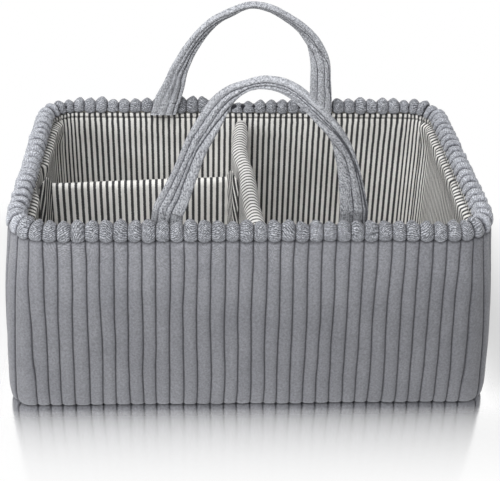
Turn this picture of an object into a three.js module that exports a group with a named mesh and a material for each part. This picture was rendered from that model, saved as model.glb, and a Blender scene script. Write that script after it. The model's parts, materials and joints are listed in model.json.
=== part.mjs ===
// A soft caddy for a changing table: a box of wide-ribbed plush with a rolled rim, two carry
// handles, a striped cotton lining and two padded dividers. Millimetres, +Z up. The origin is
// on the floor under the middle, X runs left to right and Y runs from the front to the back.
import * as THREE from 'three';

// Driving dimensions
const RIM_LENGTH = 389;
const RIM_DEPTH = 254;
const HEIGHT = 170;
const CORNER_RADIUS = 28;
const FOOT_CORNER_RADIUS = 5;
const FIT_GAP = 0.3;

// The wall's layers from the inside out, at the rim
const LINING_THICKNESS = 1.2;
const BOARD_THICKNESS = 2.2;
const TOP_PADDING = 3.2;
const COVER_THICKNESS = 3;
const BELLY = 8;
const RIB_PITCH = 10.7;
const RIB_DEPTH = 2.6;

// How far the cover swells out of its top edge, as [share of its height, share of BELLY]
const BELLY_SHARES = [[0, 0.8], [0.045, 0.94], [0.4, 0.95], [0.75, 0.48], [1, 0]];

// The rolled rim, a binding that folds over the top of the wall
const RIM_DROP = 14;
const RIM_OVERHANG_OUT = 3.25;
const RIM_OVERHANG_IN = 2.25;
const RIM_BUMP = 1.8;
const RIM_ROOF = 3;

// The rim's section from the outer seam over the top to the inner seam,
// as [share of the half width on that side, share of the height]
const RIM_SECTION_SHARES = [
  [0.94, 0], [1, 0.42], [0.8, 0.84], [0, 1], [-0.8, 0.84], [-1, 0.42], [-0.94, 0],
];

// The bottom
const BASE_COVER_THICKNESS = 2.5;
const BASE_BOARD_THICKNESS = 4;
const BASE_LINING_THICKNESS = 1.2;

// The carry handles
const HANDLE_SPREAD = 146;
const HANDLE_WIDTH = 28;
const HANDLE_THICKNESS = 5;
const HANDLE_TOP_THICKNESS = 8;
const HANDLE_LIFT = 3.2;
const HANDLE_CORE_WIDTH = 9;
const HANDLE_CORE_THICKNESS = 1.2;
const FRONT_HANDLE_HEIGHT = 99;
const FRONT_HANDLE_SHIFT = 6.5;
const FRONT_HANDLE_LEAN = THREE.MathUtils.degToRad(20);
const BACK_HANDLE_HEIGHT = 93;
const BACK_HANDLE_SHIFT = 1;

// The middle line of each handle, as [share of half the spread, share of the height]
const FRONT_LINE_SHARES = [
  [-1, 0], [-0.91, 0.12], [-0.79, 0.29], [-0.65, 0.5], [-0.5, 0.71], [-0.36, 0.86], [-0.2, 0.955],
  [0, 1], [0.2, 0.98], [0.41, 0.89], [0.6, 0.76], [0.76, 0.61], [0.87, 0.44], [0.93, 0.25], [0.97, 0.1], [1, 0],
];
const BACK_LINE_SHARES = [
  [-1, 0], [-0.94, 0.12], [-0.88, 0.25], [-0.81, 0.39], [-0.7, 0.55], [-0.57, 0.7], [-0.4, 0.83],
  [-0.18, 0.93], [0.06, 1], [0.32, 0.96], [0.55, 0.86], [0.74, 0.745], [0.87, 0.61], [0.95, 0.45], [0.98, 0.25], [1, 0],
];

// How each strap narrows and rolls over on its way, as [share of its length, share of its full
// width] and [share of its length, degrees]
const FRONT_WIDTH_SHARES = [
  [0, 0.88], [0.1, 0.84], [0.36, 0.8], [0.42, 0.66], [0.48, 0.47], [0.62, 0.46], [0.72, 0.54],
  [0.8, 0.66], [0.88, 0.78], [1, 0.86],
];
const BACK_WIDTH_SHARES = [
  [0, 0.93], [0.07, 0.76], [0.16, 0.6], [0.28, 0.52], [0.42, 0.46], [0.55, 0.44], [0.68, 0.5],
  [0.78, 0.66], [0.88, 0.72], [1, 0.8],
];
const FRONT_ROLL_DEGREES = [[0, 0], [0.3, 0], [0.42, 25], [0.5, 55], [0.65, 60], [0.74, 45], [0.84, 10], [1, 0]];
const BACK_ROLL_DEGREES = [[0, 0], [0.15, 10], [0.3, 35], [0.5, 60], [0.7, 45], [0.85, 10], [1, 0]];

// How a strap thickens from its foot to its crest, as [share of the arch, share]
const STRAP_THICKNESS_SHARES = [[0, 0.625], [0.45, 0.85], [1, 1]];

// One face of the strap's section, three ribs wide, as [share of half width, share of half thickness]
const STRAP_FACE_SHARES = [
  [-1, 0], [-0.86, 0.85], [-0.55, 1], [-0.33, 0.72], [-0.14, 1], [0.14, 1], [0.33, 0.72], [0.55, 1], [0.86, 0.85],
];

// The dividers and the hook-and-loop tape that holds them
const CENTRE_DIVIDER_THICKNESS = 13;
const CENTRE_DIVIDER_TOP = 154;
const CENTRE_DIVIDER_BOW = 7;
const CROSS_DIVIDER_THICKNESS = 7;
const CROSS_DIVIDER_TOP = 141;
const CROSS_LEFT_PLACE = 1;
const CROSS_RIGHT_PLACE = 14;
const DIVIDER_COVER_THICKNESS = 1.2;
const HOOK_THICKNESS = 1;
const TAPE_HEIGHT = 90;
const TAPE_FOOT = 18;
const FLAP_THICKNESS = 1.2;
const FLAP_WIDTH = 28;
const FLAP_HEIGHT = 133;
const FLAP_RISE = 8;
const FLAP_HEM = 10;

// The centre divider seen from above, as [share of its half length, share of its bow]
const CENTRE_LINE_SHARES = [
  [-1, 0.8], [-0.64, 0.47], [-0.35, 0.2], [0.165, -0.16], [0.35, -0.56], [0.45, -0.7], [0.68, -0.56], [1, -0.24],
];

// Steps of the curved forms
const STEPS_PER_RIB = 3;
const HANDLE_STEPS = 22;

// Everything below is worked out from the sizes above
const WALL_THICKNESS =
  LINING_THICKNESS + BOARD_THICKNESS + TOP_PADDING + COVER_THICKNESS + 3 * FIT_GAP;
const LINING_IN = -WALL_THICKNESS / 2;
const LINING_OUT = LINING_IN + LINING_THICKNESS;
const BOARD_IN = LINING_OUT + FIT_GAP;
const BOARD_OUT = BOARD_IN + BOARD_THICKNESS;
const PADDING_IN = BOARD_OUT + FIT_GAP;
const PADDING_OUT = PADDING_IN + TOP_PADDING;
const COVER_IN = PADDING_OUT + FIT_GAP;
const COVER_OUT = COVER_IN + COVER_THICKNESS;
const RIM_OUT = COVER_OUT + RIM_OVERHANG_OUT;
const RIM_IN = RIM_OVERHANG_IN - LINING_IN;

const HALF_LENGTH = RIM_LENGTH / 2 - RIM_OUT;
const HALF_DEPTH = RIM_DEPTH / 2 - RIM_OUT;
const SEAM_Z = HEIGHT - RIM_DROP;
const LAYER_TOP = SEAM_Z - FIT_GAP;
const CORE_TOP = HEIGHT - RIM_BUMP - RIM_ROOF - FIT_GAP;
const LAYER_FOOT = BASE_COVER_THICKNESS + FIT_GAP;
const FLOOR_Z = LAYER_FOOT + BASE_BOARD_THICKNESS + FIT_GAP + BASE_LINING_THICKNESS;
const DIVIDER_FOOT = FLOOR_Z + FIT_GAP;

const plush = new THREE.MeshStandardMaterial({ color: 0x868b92, roughness: 0.95, metalness: 0 });
const ticking = new THREE.MeshStandardMaterial({ color: 0xa3a19e, roughness: 0.9, metalness: 0 });
const wadding = new THREE.MeshStandardMaterial({ color: 0xf1efe9, roughness: 1, metalness: 0 });
const board = new THREE.MeshStandardMaterial({ color: 0xd8d4ca, roughness: 0.8, metalness: 0 });
const webbing = new THREE.MeshStandardMaterial({ color: 0x6f747b, roughness: 0.9, metalness: 0 });
const hookTape = new THREE.MeshStandardMaterial({ color: 0xe9e7e2, roughness: 0.85, metalness: 0 });

const caddy = new THREE.Group();

function addPiece(name, geometry, material) {
  const mesh = new THREE.Mesh(geometry, material);
  mesh.name = name;
  caddy.add(mesh);
  return mesh;
}

function between(low, high, share) {
  return low + (high - low) * share;
}

// Reads a table of [where, value] rows at any place between its ends
function readTable(table, where) {
  let row = 1;
  while (row < table.length - 1 && table[row][0] < where) row += 1;
  const [x0, y0] = table[row - 1];
  const [x1, y1] = table[row];
  return y0 + ((y1 - y0) * (where - x0)) / (x1 - x0);
}

function evenShares(steps) {
  return Array.from({ length: steps + 1 }, (_, i) => i / steps);
}

// Fills the band between two lines of { index, share }, each sorted by share, with the
// shorter diagonal at each step, so that no triangle folds over a groove
function zip(triangles, near, far, facesIn = false) {
  const addTriangle = (a, b, c) => triangles.push(a, ...(facesIn ? [c, b] : [b, c]));
  let i = 0;
  let k = 0;
  while (i < near.length - 1 || k < far.length - 1) {
    const nearStep = i < near.length - 1 ? Math.abs(near[i + 1].share - far[k].share) : Infinity;
    const farStep = k < far.length - 1 ? Math.abs(far[k + 1].share - near[i].share) : Infinity;
    if (nearStep <= farStep) {
      addTriangle(near[i].index, near[i + 1].index, far[k].index);
      i += 1;
    } else {
      addTriangle(near[i].index, far[k + 1].index, far[k].index);
      k += 1;
    }
  }
}

// Splits a quad along the same diagonal whichever way it faces
function addQuad(triangles, [a, b, c, d], facesIn) {
  triangles.push(...(facesIn ? [a, c, b, a, d, c] : [a, b, c, a, c, d]));
}

function closedGeometry(points, triangles) {
  const a = new THREE.Vector3();
  let volume = 0;
  for (let i = 0; i < triangles.length; i += 3) {
    const [p, q, r] = triangles.slice(i, i + 3).map((n) => points[n]);
    volume += a.crossVectors(q, r).dot(p);
  }
  const facingOut = volume > 0 ? triangles : triangles.slice().reverse();
  const geometry = new THREE.BufferGeometry().setFromPoints(points);
  geometry.setIndex(facingOut);
  geometry.computeVertexNormals();
  return geometry;
}

// A solid between two sheets. A sheet is a list of { up, line } from its foot to its top, and
// a line is a list of { share, point }. The sheets and their lines may have unlike counts.
function solidBetween(outer, inner) {
  const points = [];
  const triangles = [];
  const number = (sheet) =>
    sheet.map(({ up, line }) => ({
      up,
      line: line.map(({ share, point }) => ({ share, index: points.push(point) - 1 })),
    }));
  const out = number(outer);
  const into = number(inner);
  for (let j = 1; j < out.length; j += 1) zip(triangles, out[j - 1].line, out[j].line);
  for (let j = 1; j < into.length; j += 1) zip(triangles, into[j - 1].line, into[j].line, true);
  zip(triangles, out.at(-1).line, into.at(-1).line);
  zip(triangles, into[0].line, out[0].line);
  const edge = (lines, i) => lines.map(({ up, line }) => ({ share: up, index: line.at(i).index }));
  zip(triangles, edge(out, 0), edge(into, 0));
  zip(triangles, edge(into, -1), edge(out, -1));
  return closedGeometry(points, triangles);
}

// The four sides, each from the middle of one rounded corner to the middle of the next
const SIDES = {
  front: { half: HALF_LENGTH, away: HALF_DEPTH, turn: 0 },
  right: { half: HALF_DEPTH, away: HALF_LENGTH, turn: Math.PI / 2 },
  back: { half: HALF_LENGTH, away: HALF_DEPTH, turn: Math.PI },
  left: { half: HALF_DEPTH, away: HALF_LENGTH, turn: -Math.PI / 2 },
};

// Lengths along a side are measured on the cover, where the ribs are sewn at an even pitch
function sideLengths(side, corner = CORNER_RADIUS) {
  const straight = 2 * (side.half - corner);
  const bend = ((corner + COVER_OUT) * Math.PI) / 4;
  return { straight, bend, whole: straight + 2 * bend };
}

// The point of a side at a share of its length, an offset outwards and a height
function sidePoint(side, share, offset, z, corner = CORNER_RADIUS) {
  const { straight, bend, whole } = sideLengths(side, corner);
  const fromMiddle = (share - 1 / 2) * whole;
  const past = Math.max(Math.abs(fromMiddle) - straight / 2, 0);
  const angle = (Math.sign(fromMiddle) * past * Math.PI) / (4 * bend);
  const centreX = THREE.MathUtils.clamp(fromMiddle, -straight / 2, straight / 2);
  const radius = corner + offset;
  const cut = share === 0 ? FIT_GAP / 2 : share === 1 ? -FIT_GAP / 2 : 0;
  const x = centreX + radius * Math.sin(angle) + cut * Math.cos(angle);
  const y = corner - side.away - radius * Math.cos(angle) + cut * Math.sin(angle);
  return new THREE.Vector3(x, y, z).applyAxisAngle(new THREE.Vector3(0, 0, 1), side.turn);
}

function coarseShares(side) {
  const bend = sideLengths(side).bend / sideLengths(side).whole;
  return [0, bend / 2, bend, 1 - bend, 1 - bend / 2, 1];
}

function ribCount(side) {
  return Math.round(sideLengths(side).whole / RIB_PITCH);
}

function ribShares(side) {
  return evenShares(ribCount(side) * STEPS_PER_RIB);
}

// The coarse places and every second groove of the straight stretch, for the edges of a plain
// sheet that a ribbed one is joined to
function edgeShares(side) {
  const coarse = coarseShares(side);
  const grooves = evenShares(ribCount(side) / 2);
  const margin = 1 / (2 * ribCount(side));
  const straight = grooves.filter((share) => share > coarse[2] + margin && share < coarse[3] - margin);
  return [...coarse.slice(0, 3), ...straight, ...coarse.slice(3)];
}

// The height of a rib's round back at a share of the side, from 0 in the groove to 1
function ribSwell(side, share) {
  const across = (share * ribCount(side)) % 1;
  const wrapped = Math.min(across, 1 - across) * 2;
  return Math.sqrt(Math.max(0, 1 - (1 - wrapped) ** 2));
}

function bellyAt(z) {
  return z >= LAYER_TOP ? 0 : BELLY * readTable(BELLY_SHARES, z / LAYER_TOP);
}

// The corners of the cover are round under the rim and almost square on the floor
function cornerAt(z) {
  return z >= LAYER_TOP ? CORNER_RADIUS : between(FOOT_CORNER_RADIUS, CORNER_RADIUS, z / LAYER_TOP);
}

function sheet(side, shares, levels, offsetAt, radiusAt = () => CORNER_RADIUS, edges = shares) {
  return levels.map((z, j) => {
    const isEdge = j === 0 || j === levels.length - 1;
    const pointAt = (share) => sidePoint(side, share, offsetAt(share, z), z, radiusAt(z));
    return {
      up: z / HEIGHT,
      line: (isEdge ? edges : shares).map((share) => ({ share, point: pointAt(share) })),
    };
  });
}

const COVER_LEVELS = BELLY_SHARES.map(([share]) => share * LAYER_TOP);
const PADDING_LEVELS = [LAYER_FOOT, ...COVER_LEVELS.filter((z) => z > LAYER_FOOT + FIT_GAP), CORE_TOP];

// The ribbed plush cover of one side
function coverGeometry(side) {
  const ribbed = (share, z) => COVER_OUT + bellyAt(z) + RIB_DEPTH * ribSwell(side, share);
  const backing = (share, z) => COVER_IN + bellyAt(z);
  return solidBetween(
    sheet(side, ribShares(side), COVER_LEVELS, ribbed, cornerAt),
    sheet(side, coarseShares(side), COVER_LEVELS, backing, cornerAt, edgeShares(side)),
  );
}

// The soft wadding between the cover and the stiff board
function paddingGeometry(side) {
  const swelling = (share, z) => PADDING_OUT + bellyAt(z);
  return solidBetween(
    sheet(side, coarseShares(side), PADDING_LEVELS, swelling, cornerAt),
    sheet(side, coarseShares(side), [LAYER_FOOT, CORE_TOP], () => PADDING_IN),
  );
}

function liningGeometry(side) {
  const levels = [LAYER_FOOT, LAYER_TOP];
  return solidBetween(
    sheet(side, coarseShares(side), levels, () => LINING_OUT),
    sheet(side, coarseShares(side), levels, () => LINING_IN),
  );
}

// The stiff board stands in the straight stretch of the wall, so that the corners stay soft
function boardGeometry(side) {
  const bend = coarseShares(side)[2];
  const levels = [LAYER_FOOT, CORE_TOP];
  return solidBetween(
    sheet(side, [bend, 1 - bend], levels, () => BOARD_OUT),
    sheet(side, [bend, 1 - bend], levels, () => BOARD_IN),
  );
}

// The rim: ribbed plush folded over the wall's top, gathered into one bump on each rib
function rimGeometry(side) {
  const shares = ribShares(side);
  const up = evenShares(RIM_SECTION_SHARES.length - 1);
  const bumpy = (share, [across, rise]) => {
    const bump = RIM_BUMP * (1 - ribSwell(side, share));
    const width = (across > 0 ? RIM_OUT : RIM_IN) - bump;
    return sidePoint(side, share, across * width, SEAM_Z + rise * (RIM_DROP - bump));
  };
  const channel = [
    [COVER_IN, SEAM_Z],
    [COVER_IN, CORE_TOP + FIT_GAP],
    [BOARD_IN - FIT_GAP, CORE_TOP + FIT_GAP],
    [BOARD_IN - FIT_GAP, SEAM_Z],
  ];
  const outer = RIM_SECTION_SHARES.map((place, j) => ({
    up: up[j],
    line: shares.map((share) => ({ share, point: bumpy(share, place) })),
  }));
  const inner = channel.map(([offset, z], j) => ({
    up: up[2 * j],
    line: (z === SEAM_Z ? edgeShares(side) : coarseShares(side)).map((share) => ({
      share,
      point: sidePoint(side, share, offset, z),
    })),
  }));
  return solidBetween(outer, inner);
}

for (const [name, side] of Object.entries(SIDES)) {
  addPiece(`${name}_cover`, coverGeometry(side), plush);
  addPiece(`${name}_padding`, paddingGeometry(side), wadding);
  addPiece(`${name}_board`, boardGeometry(side), board);
  addPiece(`${name}_lining`, liningGeometry(side), ticking);
  addPiece(`${name}_rim`, rimGeometry(side), plush);
}

// A flat sheet of the caddy's plan, set in or out from the wall's centre line
function basePlate(offset, foot, thickness, corner) {
  const outline = Object.values(SIDES).flatMap((side) =>
    coarseShares(side)
      .slice(0, -1)
      .map((share) => sidePoint(side, share, offset, 0, corner)),
  );
  const shape = new THREE.Shape(outline.map((p) => new THREE.Vector2(p.x, p.y)));
  const geometry = new THREE.ExtrudeGeometry(shape, { depth: thickness, bevelEnabled: false });
  return geometry.translate(0, 0, foot);
}

addPiece(
  'base_cover',
  basePlate(COVER_IN + bellyAt(0) - FIT_GAP, 0, BASE_COVER_THICKNESS, cornerAt(0)),
  plush,
);
addPiece(
  'base_board',
  basePlate(LINING_IN - FIT_GAP, LAYER_FOOT, BASE_BOARD_THICKNESS),
  board,
);
addPiece(
  'base_lining',
  basePlate(LINING_IN - FIT_GAP, FLOOR_Z - BASE_LINING_THICKNESS, BASE_LINING_THICKNESS),
  ticking,
);

// The handles
const STRAP_OFFSET = RIM_IN + FIT_GAP + HANDLE_THICKNESS / 2;
const HINGE_Z = HEIGHT + HANDLE_LIFT;
const STRAP_SECTION = [
  ...STRAP_FACE_SHARES,
  ...STRAP_FACE_SHARES.map(([across, through]) => [-across, -through]),
];
const CORE_SECTION = [[-1, -1], [-1, 1], [1, 1], [1, -1]];

// A solid swept through closed rings of points, with a bore through it if bores are given
function solidThrough(rings, bores) {
  const points = [];
  const triangles = [];
  const number = (loops) => loops.map((loop) => loop.map((p) => points.push(p) - 1));
  const skin = (ids, facesIn) => {
    for (let k = 0; k < ids.length - 1; k += 1) {
      for (let j = 0; j < ids[k].length; j += 1) {
        const next = (j + 1) % ids[k].length;
        addQuad(triangles, [ids[k][j], ids[k][next], ids[k + 1][next], ids[k + 1][j]], facesIn);
      }
    }
  };
  const out = number(rings);
  skin(out, false);
  if (!bores) {
    for (let j = 1; j < out[0].length - 1; j += 1) {
      triangles.push(out[0][0], out[0][j + 1], out[0][j]);
      triangles.push(out.at(-1)[0], out.at(-1)[j], out.at(-1)[j + 1]);
    }
    return closedGeometry(points, triangles);
  }
  const into = number(bores);
  skin(into, true);
  const loop = (ids, shares) => [
    ...ids.map((index, j) => ({ index, share: shares[j] })),
    { index: ids[0], share: 1 },
  ];
  zip(triangles, loop(into[0], BORE_TURNS), loop(out[0], STRAP_TURNS));
  zip(triangles, loop(out.at(-1), STRAP_TURNS), loop(into.at(-1), BORE_TURNS));
  return closedGeometry(points, triangles);
}

// Where each corner of the strap's section and of its bore lies on the way round, from 0 to 1
const STRAP_TURNS = STRAP_SECTION.map((_, j) => j / STRAP_SECTION.length);
const BORE_TURNS = [0, 2, 7, 11].map((j) => j / STRAP_SECTION.length);

function handleLine(lineShares, height) {
  return new THREE.CatmullRomCurve3(
    lineShares.map(([across, rise]) => new THREE.Vector3((across * HANDLE_SPREAD) / 2, 0, rise * height)),
  );
}

// One ring of the strap at a share of the handle's length, with its feet rounded about the
// line on which the handle turns
function strapRing(handleLine, share, section, rollAt, widthAt, thicknessAt) {
  const middle = handleLine.getPointAt(share);
  const isFoot = share === 0 || share === 1;
  const along = isFoot
    ? new THREE.Vector3(0, 0, share === 0 ? 1 : -1)
    : handleLine.getTangentAt(share);
  const out = new THREE.Vector3(0, 1, 0);
  const across = new THREE.Vector3().crossVectors(out, along);
  const arch = Math.sin(Math.PI * share);
  const roll = THREE.MathUtils.degToRad(rollAt(share));
  const widthways = across.clone().multiplyScalar(Math.cos(roll)).addScaledVector(out, Math.sin(roll));
  const through = out.clone().multiplyScalar(Math.cos(roll)).addScaledVector(across, -Math.sin(roll));
  const foot = isFoot ? HANDLE_THICKNESS / 2 : 0;
  return section.map(([w, t]) => {
    const depth = (t * thicknessAt(arch)) / 2;
    const drop = Math.sqrt(Math.max(0, foot * foot - depth * depth)) * (share === 0 ? -1 : 1);
    return middle
      .clone()
      .addScaledVector(widthways, (w * widthAt(share)) / 2)
      .addScaledVector(through, depth)
      .addScaledVector(along, foot ? drop : 0);
  });
}

// The rings of a strap, of the bore through it and of the webbing in that bore
function strapRings({ line, widths, rolls }) {
  const rollAt = (share) => readTable(rolls, share);
  const widthAt = (share) => HANDLE_WIDTH * readTable(widths, share);
  const thicknessAt = (arch) => HANDLE_TOP_THICKNESS * readTable(STRAP_THICKNESS_SHARES, arch);
  const coreWidth = (extra) => () => HANDLE_CORE_WIDTH + extra;
  const coreThickness = (extra) => () => HANDLE_CORE_THICKNESS + extra;
  const rings = (section, ...sizes) =>
    evenShares(HANDLE_STEPS).map((share) => strapRing(line, share, section, rollAt, ...sizes));
  return {
    plushRings: rings(STRAP_SECTION, widthAt, thicknessAt),
    boreRings: rings(CORE_SECTION, coreWidth(2 * FIT_GAP), coreThickness(2 * FIT_GAP)),
    coreRings: rings(CORE_SECTION, coreWidth(0), coreThickness(0)),
  };
}

// The sewn end of a strap: it lies on the inner face of the rim and ends in the rim's seam
function strapEndGeometry() {
  const face = STRAP_SECTION.map(
    ([w, t]) => new THREE.Vector2((w * HANDLE_WIDTH) / 2, (t * HANDLE_THICKNESS) / 2),
  );
  const height = HINGE_Z - HANDLE_THICKNESS / 2 - FIT_GAP - SEAM_Z;
  return new THREE.ExtrudeGeometry(new THREE.Shape(face), { depth: height, bevelEnabled: false });
}

function addHandle(name, facing, shift, lean, course) {
  const y = facing * (HALF_DEPTH - STRAP_OFFSET);
  const { plushRings, boreRings, coreRings } = strapRings(course);
  const arch = [
    addPiece(`${name}_handle`, solidThrough(plushRings, boreRings), plush),
    addPiece(`${name}_handle_webbing`, solidThrough(coreRings), webbing),
  ];
  for (const piece of arch) {
    piece.rotation.x = facing * lean;
    piece.position.set(shift, y, HINGE_Z);
  }
  for (const [side, hand] of [['left', -1], ['right', 1]]) {
    const end = addPiece(`${name}_handle_${side}_end`, strapEndGeometry(), plush);
    end.position.set(shift + (hand * HANDLE_SPREAD) / 2, y, SEAM_Z);
  }
}

addHandle('front', -1, FRONT_HANDLE_SHIFT, FRONT_HANDLE_LEAN, {
  line: handleLine(FRONT_LINE_SHARES, FRONT_HANDLE_HEIGHT),
  widths: FRONT_WIDTH_SHARES,
  rolls: FRONT_ROLL_DEGREES,
});
addHandle('back', 1, BACK_HANDLE_SHIFT, 0, {
  line: handleLine(BACK_LINE_SHARES, BACK_HANDLE_HEIGHT),
  widths: BACK_WIDTH_SHARES,
  rolls: BACK_ROLL_DEGREES,
});

// The dividers
const HOOK_FACE = RIM_IN + FIT_GAP;
const LOOP_FACE = FIT_GAP - LINING_IN;
const LOOP_THICKNESS = HOOK_FACE - FIT_GAP - LOOP_FACE;
const CENTRE_HALF = HALF_DEPTH - HOOK_FACE - HOOK_THICKNESS - FIT_GAP;

function centreLineX(y) {
  return CENTRE_DIVIDER_BOW * readTable(CENTRE_LINE_SHARES, y / CENTRE_HALF);
}

// The round-topped section of a divider's cover, from one foot over the top to the other
function archSection(half, top) {
  const turns = evenShares(6);
  const crown = turns.map((share) => [
    half * Math.cos(share * Math.PI),
    top - half + half * Math.sin(share * Math.PI),
  ]);
  return [[half, DIVIDER_FOOT], ...crown, [-half, DIVIDER_FOOT]];
}

// A stretch of divider between two ends, with place(along, sideways, z) giving its points
function dividerShell(ends, half, top, place) {
  const sheetOf = (section) =>
    section.map(([sideways, z], j) => ({
      up: j / (section.length - 1),
      line: ends.map((end) => ({ share: end, point: place(end, sideways, z) })),
    }));
  return solidBetween(
    sheetOf(archSection(half, top)),
    sheetOf(archSection(half - DIVIDER_COVER_THICKNESS, top - DIVIDER_COVER_THICKNESS)),
  );
}

function dividerCore(ends, half, top, place) {
  const inset = DIVIDER_COVER_THICKNESS + FIT_GAP;
  const section = archSection(half - inset, top - inset);
  return solidThrough(ends.map((end) => section.map(([sideways, z]) => place(end, sideways, z))));
}

const centreEnds = CENTRE_LINE_SHARES.map(([share]) => share * CENTRE_HALF);
const centrePlace = (y, sideways, z) => new THREE.Vector3(centreLineX(y) + sideways, y, z);
const centreSize = [CENTRE_DIVIDER_THICKNESS / 2, CENTRE_DIVIDER_TOP];
addPiece('centre_divider_cover', dividerShell(centreEnds, ...centreSize, centrePlace), ticking);
addPiece('centre_divider_foam', dividerCore(centreEnds, ...centreSize, centrePlace), wadding);

// A flat strip with its low corner at (x, y, z)
function strip(x, y, z, length, depth, height) {
  return new THREE.BoxGeometry(length, depth, height).translate(x + length / 2, y + depth / 2, z + height / 2);
}

const CENTRE_TAPE_WIDTH = CENTRE_DIVIDER_THICKNESS - 2 * DIVIDER_COVER_THICKNESS;
for (const [name, facing] of [['front', -1], ['back', 1]]) {
  const x = centreLineX(facing * CENTRE_HALF) - CENTRE_TAPE_WIDTH / 2;
  const layers = [
    [`centre_divider_${name}_hook_tape`, HOOK_FACE, HOOK_THICKNESS],
    [`${name}_lining_loop_tape`, LOOP_FACE, LOOP_THICKNESS],
  ];
  for (const [piece, near, thickness] of layers) {
    const edge = HALF_DEPTH - near;
    const y = facing > 0 ? edge - thickness : -edge;
    addPiece(piece, strip(x, y, TAPE_FOOT, CENTRE_TAPE_WIDTH, thickness, TAPE_HEIGHT), hookTape);
  }
}

// The cross divider's left flap lies on the left lining and its right flap on the centre
// divider. Both are measured outwards from the face that carries them.
const LEFT_FLAP = HOOK_FACE + HOOK_THICKNESS + FIT_GAP;
const CROSS_LEFT = LEFT_FLAP + FLAP_THICKNESS + FIT_GAP - HALF_LENGTH;
const RIGHT_LOOP = CENTRE_DIVIDER_THICKNESS / 2 + FIT_GAP;
const RIGHT_HOOK = RIGHT_LOOP + LOOP_THICKNESS + FIT_GAP;
const RIGHT_FLAP = RIGHT_HOOK + HOOK_THICKNESS + FIT_GAP;
const CROSS_HALF = CROSS_DIVIDER_THICKNESS / 2;
const CROSS_RIGHT_OFFSET = RIGHT_FLAP + FLAP_THICKNESS + FIT_GAP;

// The panel runs askew, with its right end further back than its left end
const crossPlace = (end, sideways, z) => {
  const y = (end === 0 ? CROSS_LEFT_PLACE : CROSS_RIGHT_PLACE) - sideways;
  const x = end === 0 ? CROSS_LEFT : centreLineX(y) - CROSS_RIGHT_OFFSET;
  return new THREE.Vector3(x, y, z);
};
const crossSize = [CROSS_HALF, CROSS_DIVIDER_TOP];
addPiece('cross_divider_cover', dividerShell([0, 1], ...crossSize, crossPlace), ticking);
addPiece('cross_divider_board', dividerCore([0, 1], ...crossSize, crossPlace), board);

// A strip that stands on a wall between two places along Y. wall(y, away) gives the wall's X,
// and the strip's front edge is higher than its back edge by the rise.
function stripOnWall(wall, [near, thickness], [frontY, backY], [foot, height], rise = 0) {
  const corners = [
    [frontY, near],
    [backY, near],
    [backY, near + thickness],
    [frontY, near + thickness],
  ];
  const ring = (zAt) => corners.map(([y, away]) => new THREE.Vector3(wall(y, away), y, zAt(y)));
  const topAt = (y) => foot + height + rise * ((backY - y) / (backY - frontY));
  return solidThrough([ring(() => foot), ring(topAt)]);
}

const onCentre = (y, away) => centreLineX(y) - away;
const onLeftWall = (y, away) => away - HALF_LENGTH;

// The flap at one end of the cross divider, its hook tape and the loop tape that holds it
function addFlap(side, holder, wall, place, [flap, hook, loop]) {
  const flapY = [place - FLAP_WIDTH, place];
  const tapeY = [place - FLAP_WIDTH + FLAP_HEM, place - CROSS_HALF];
  const flapZ = [DIVIDER_FOOT, FLAP_HEIGHT];
  const tapeZ = [TAPE_FOOT, TAPE_HEIGHT];
  const flapShape = stripOnWall(wall, [flap, FLAP_THICKNESS], flapY, flapZ, FLAP_RISE);
  addPiece(`cross_divider_${side}_flap`, flapShape, ticking);
  const hookShape = stripOnWall(wall, [hook, HOOK_THICKNESS], tapeY, tapeZ);
  addPiece(`cross_divider_${side}_hook_tape`, hookShape, hookTape);
  const loopShape = stripOnWall(wall, [loop, LOOP_THICKNESS], tapeY, tapeZ);
  addPiece(`${holder}_loop_tape`, loopShape, hookTape);
}

const rightLayers = [RIGHT_FLAP, RIGHT_HOOK, RIGHT_LOOP];
const leftLayers = [LEFT_FLAP, HOOK_FACE, LOOP_FACE];
addFlap('right', 'centre_divider', onCentre, CROSS_RIGHT_PLACE, rightLayers);
addFlap('left', 'left_lining', onLeftWall, CROSS_LEFT_PLACE, leftLayers);

export default caddy;
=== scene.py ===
# %% [markdown]
# # A soft caddy for a changing table
#
# The object is a box of wide-ribbed plush with a rolled rim, two carry handles, a lining of
# striped ticking and two padded dividers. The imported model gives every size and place.
# This script dresses it: it replaces the plain soft solids with finely ribbed cloth, gives
# each cloth its material, and sets up a camera, a floor and soft studio light.

# %% The frame and the libraries
import json
import math

import bpy
import numpy as np
from mathutils import Matrix, Vector, noise

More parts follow.
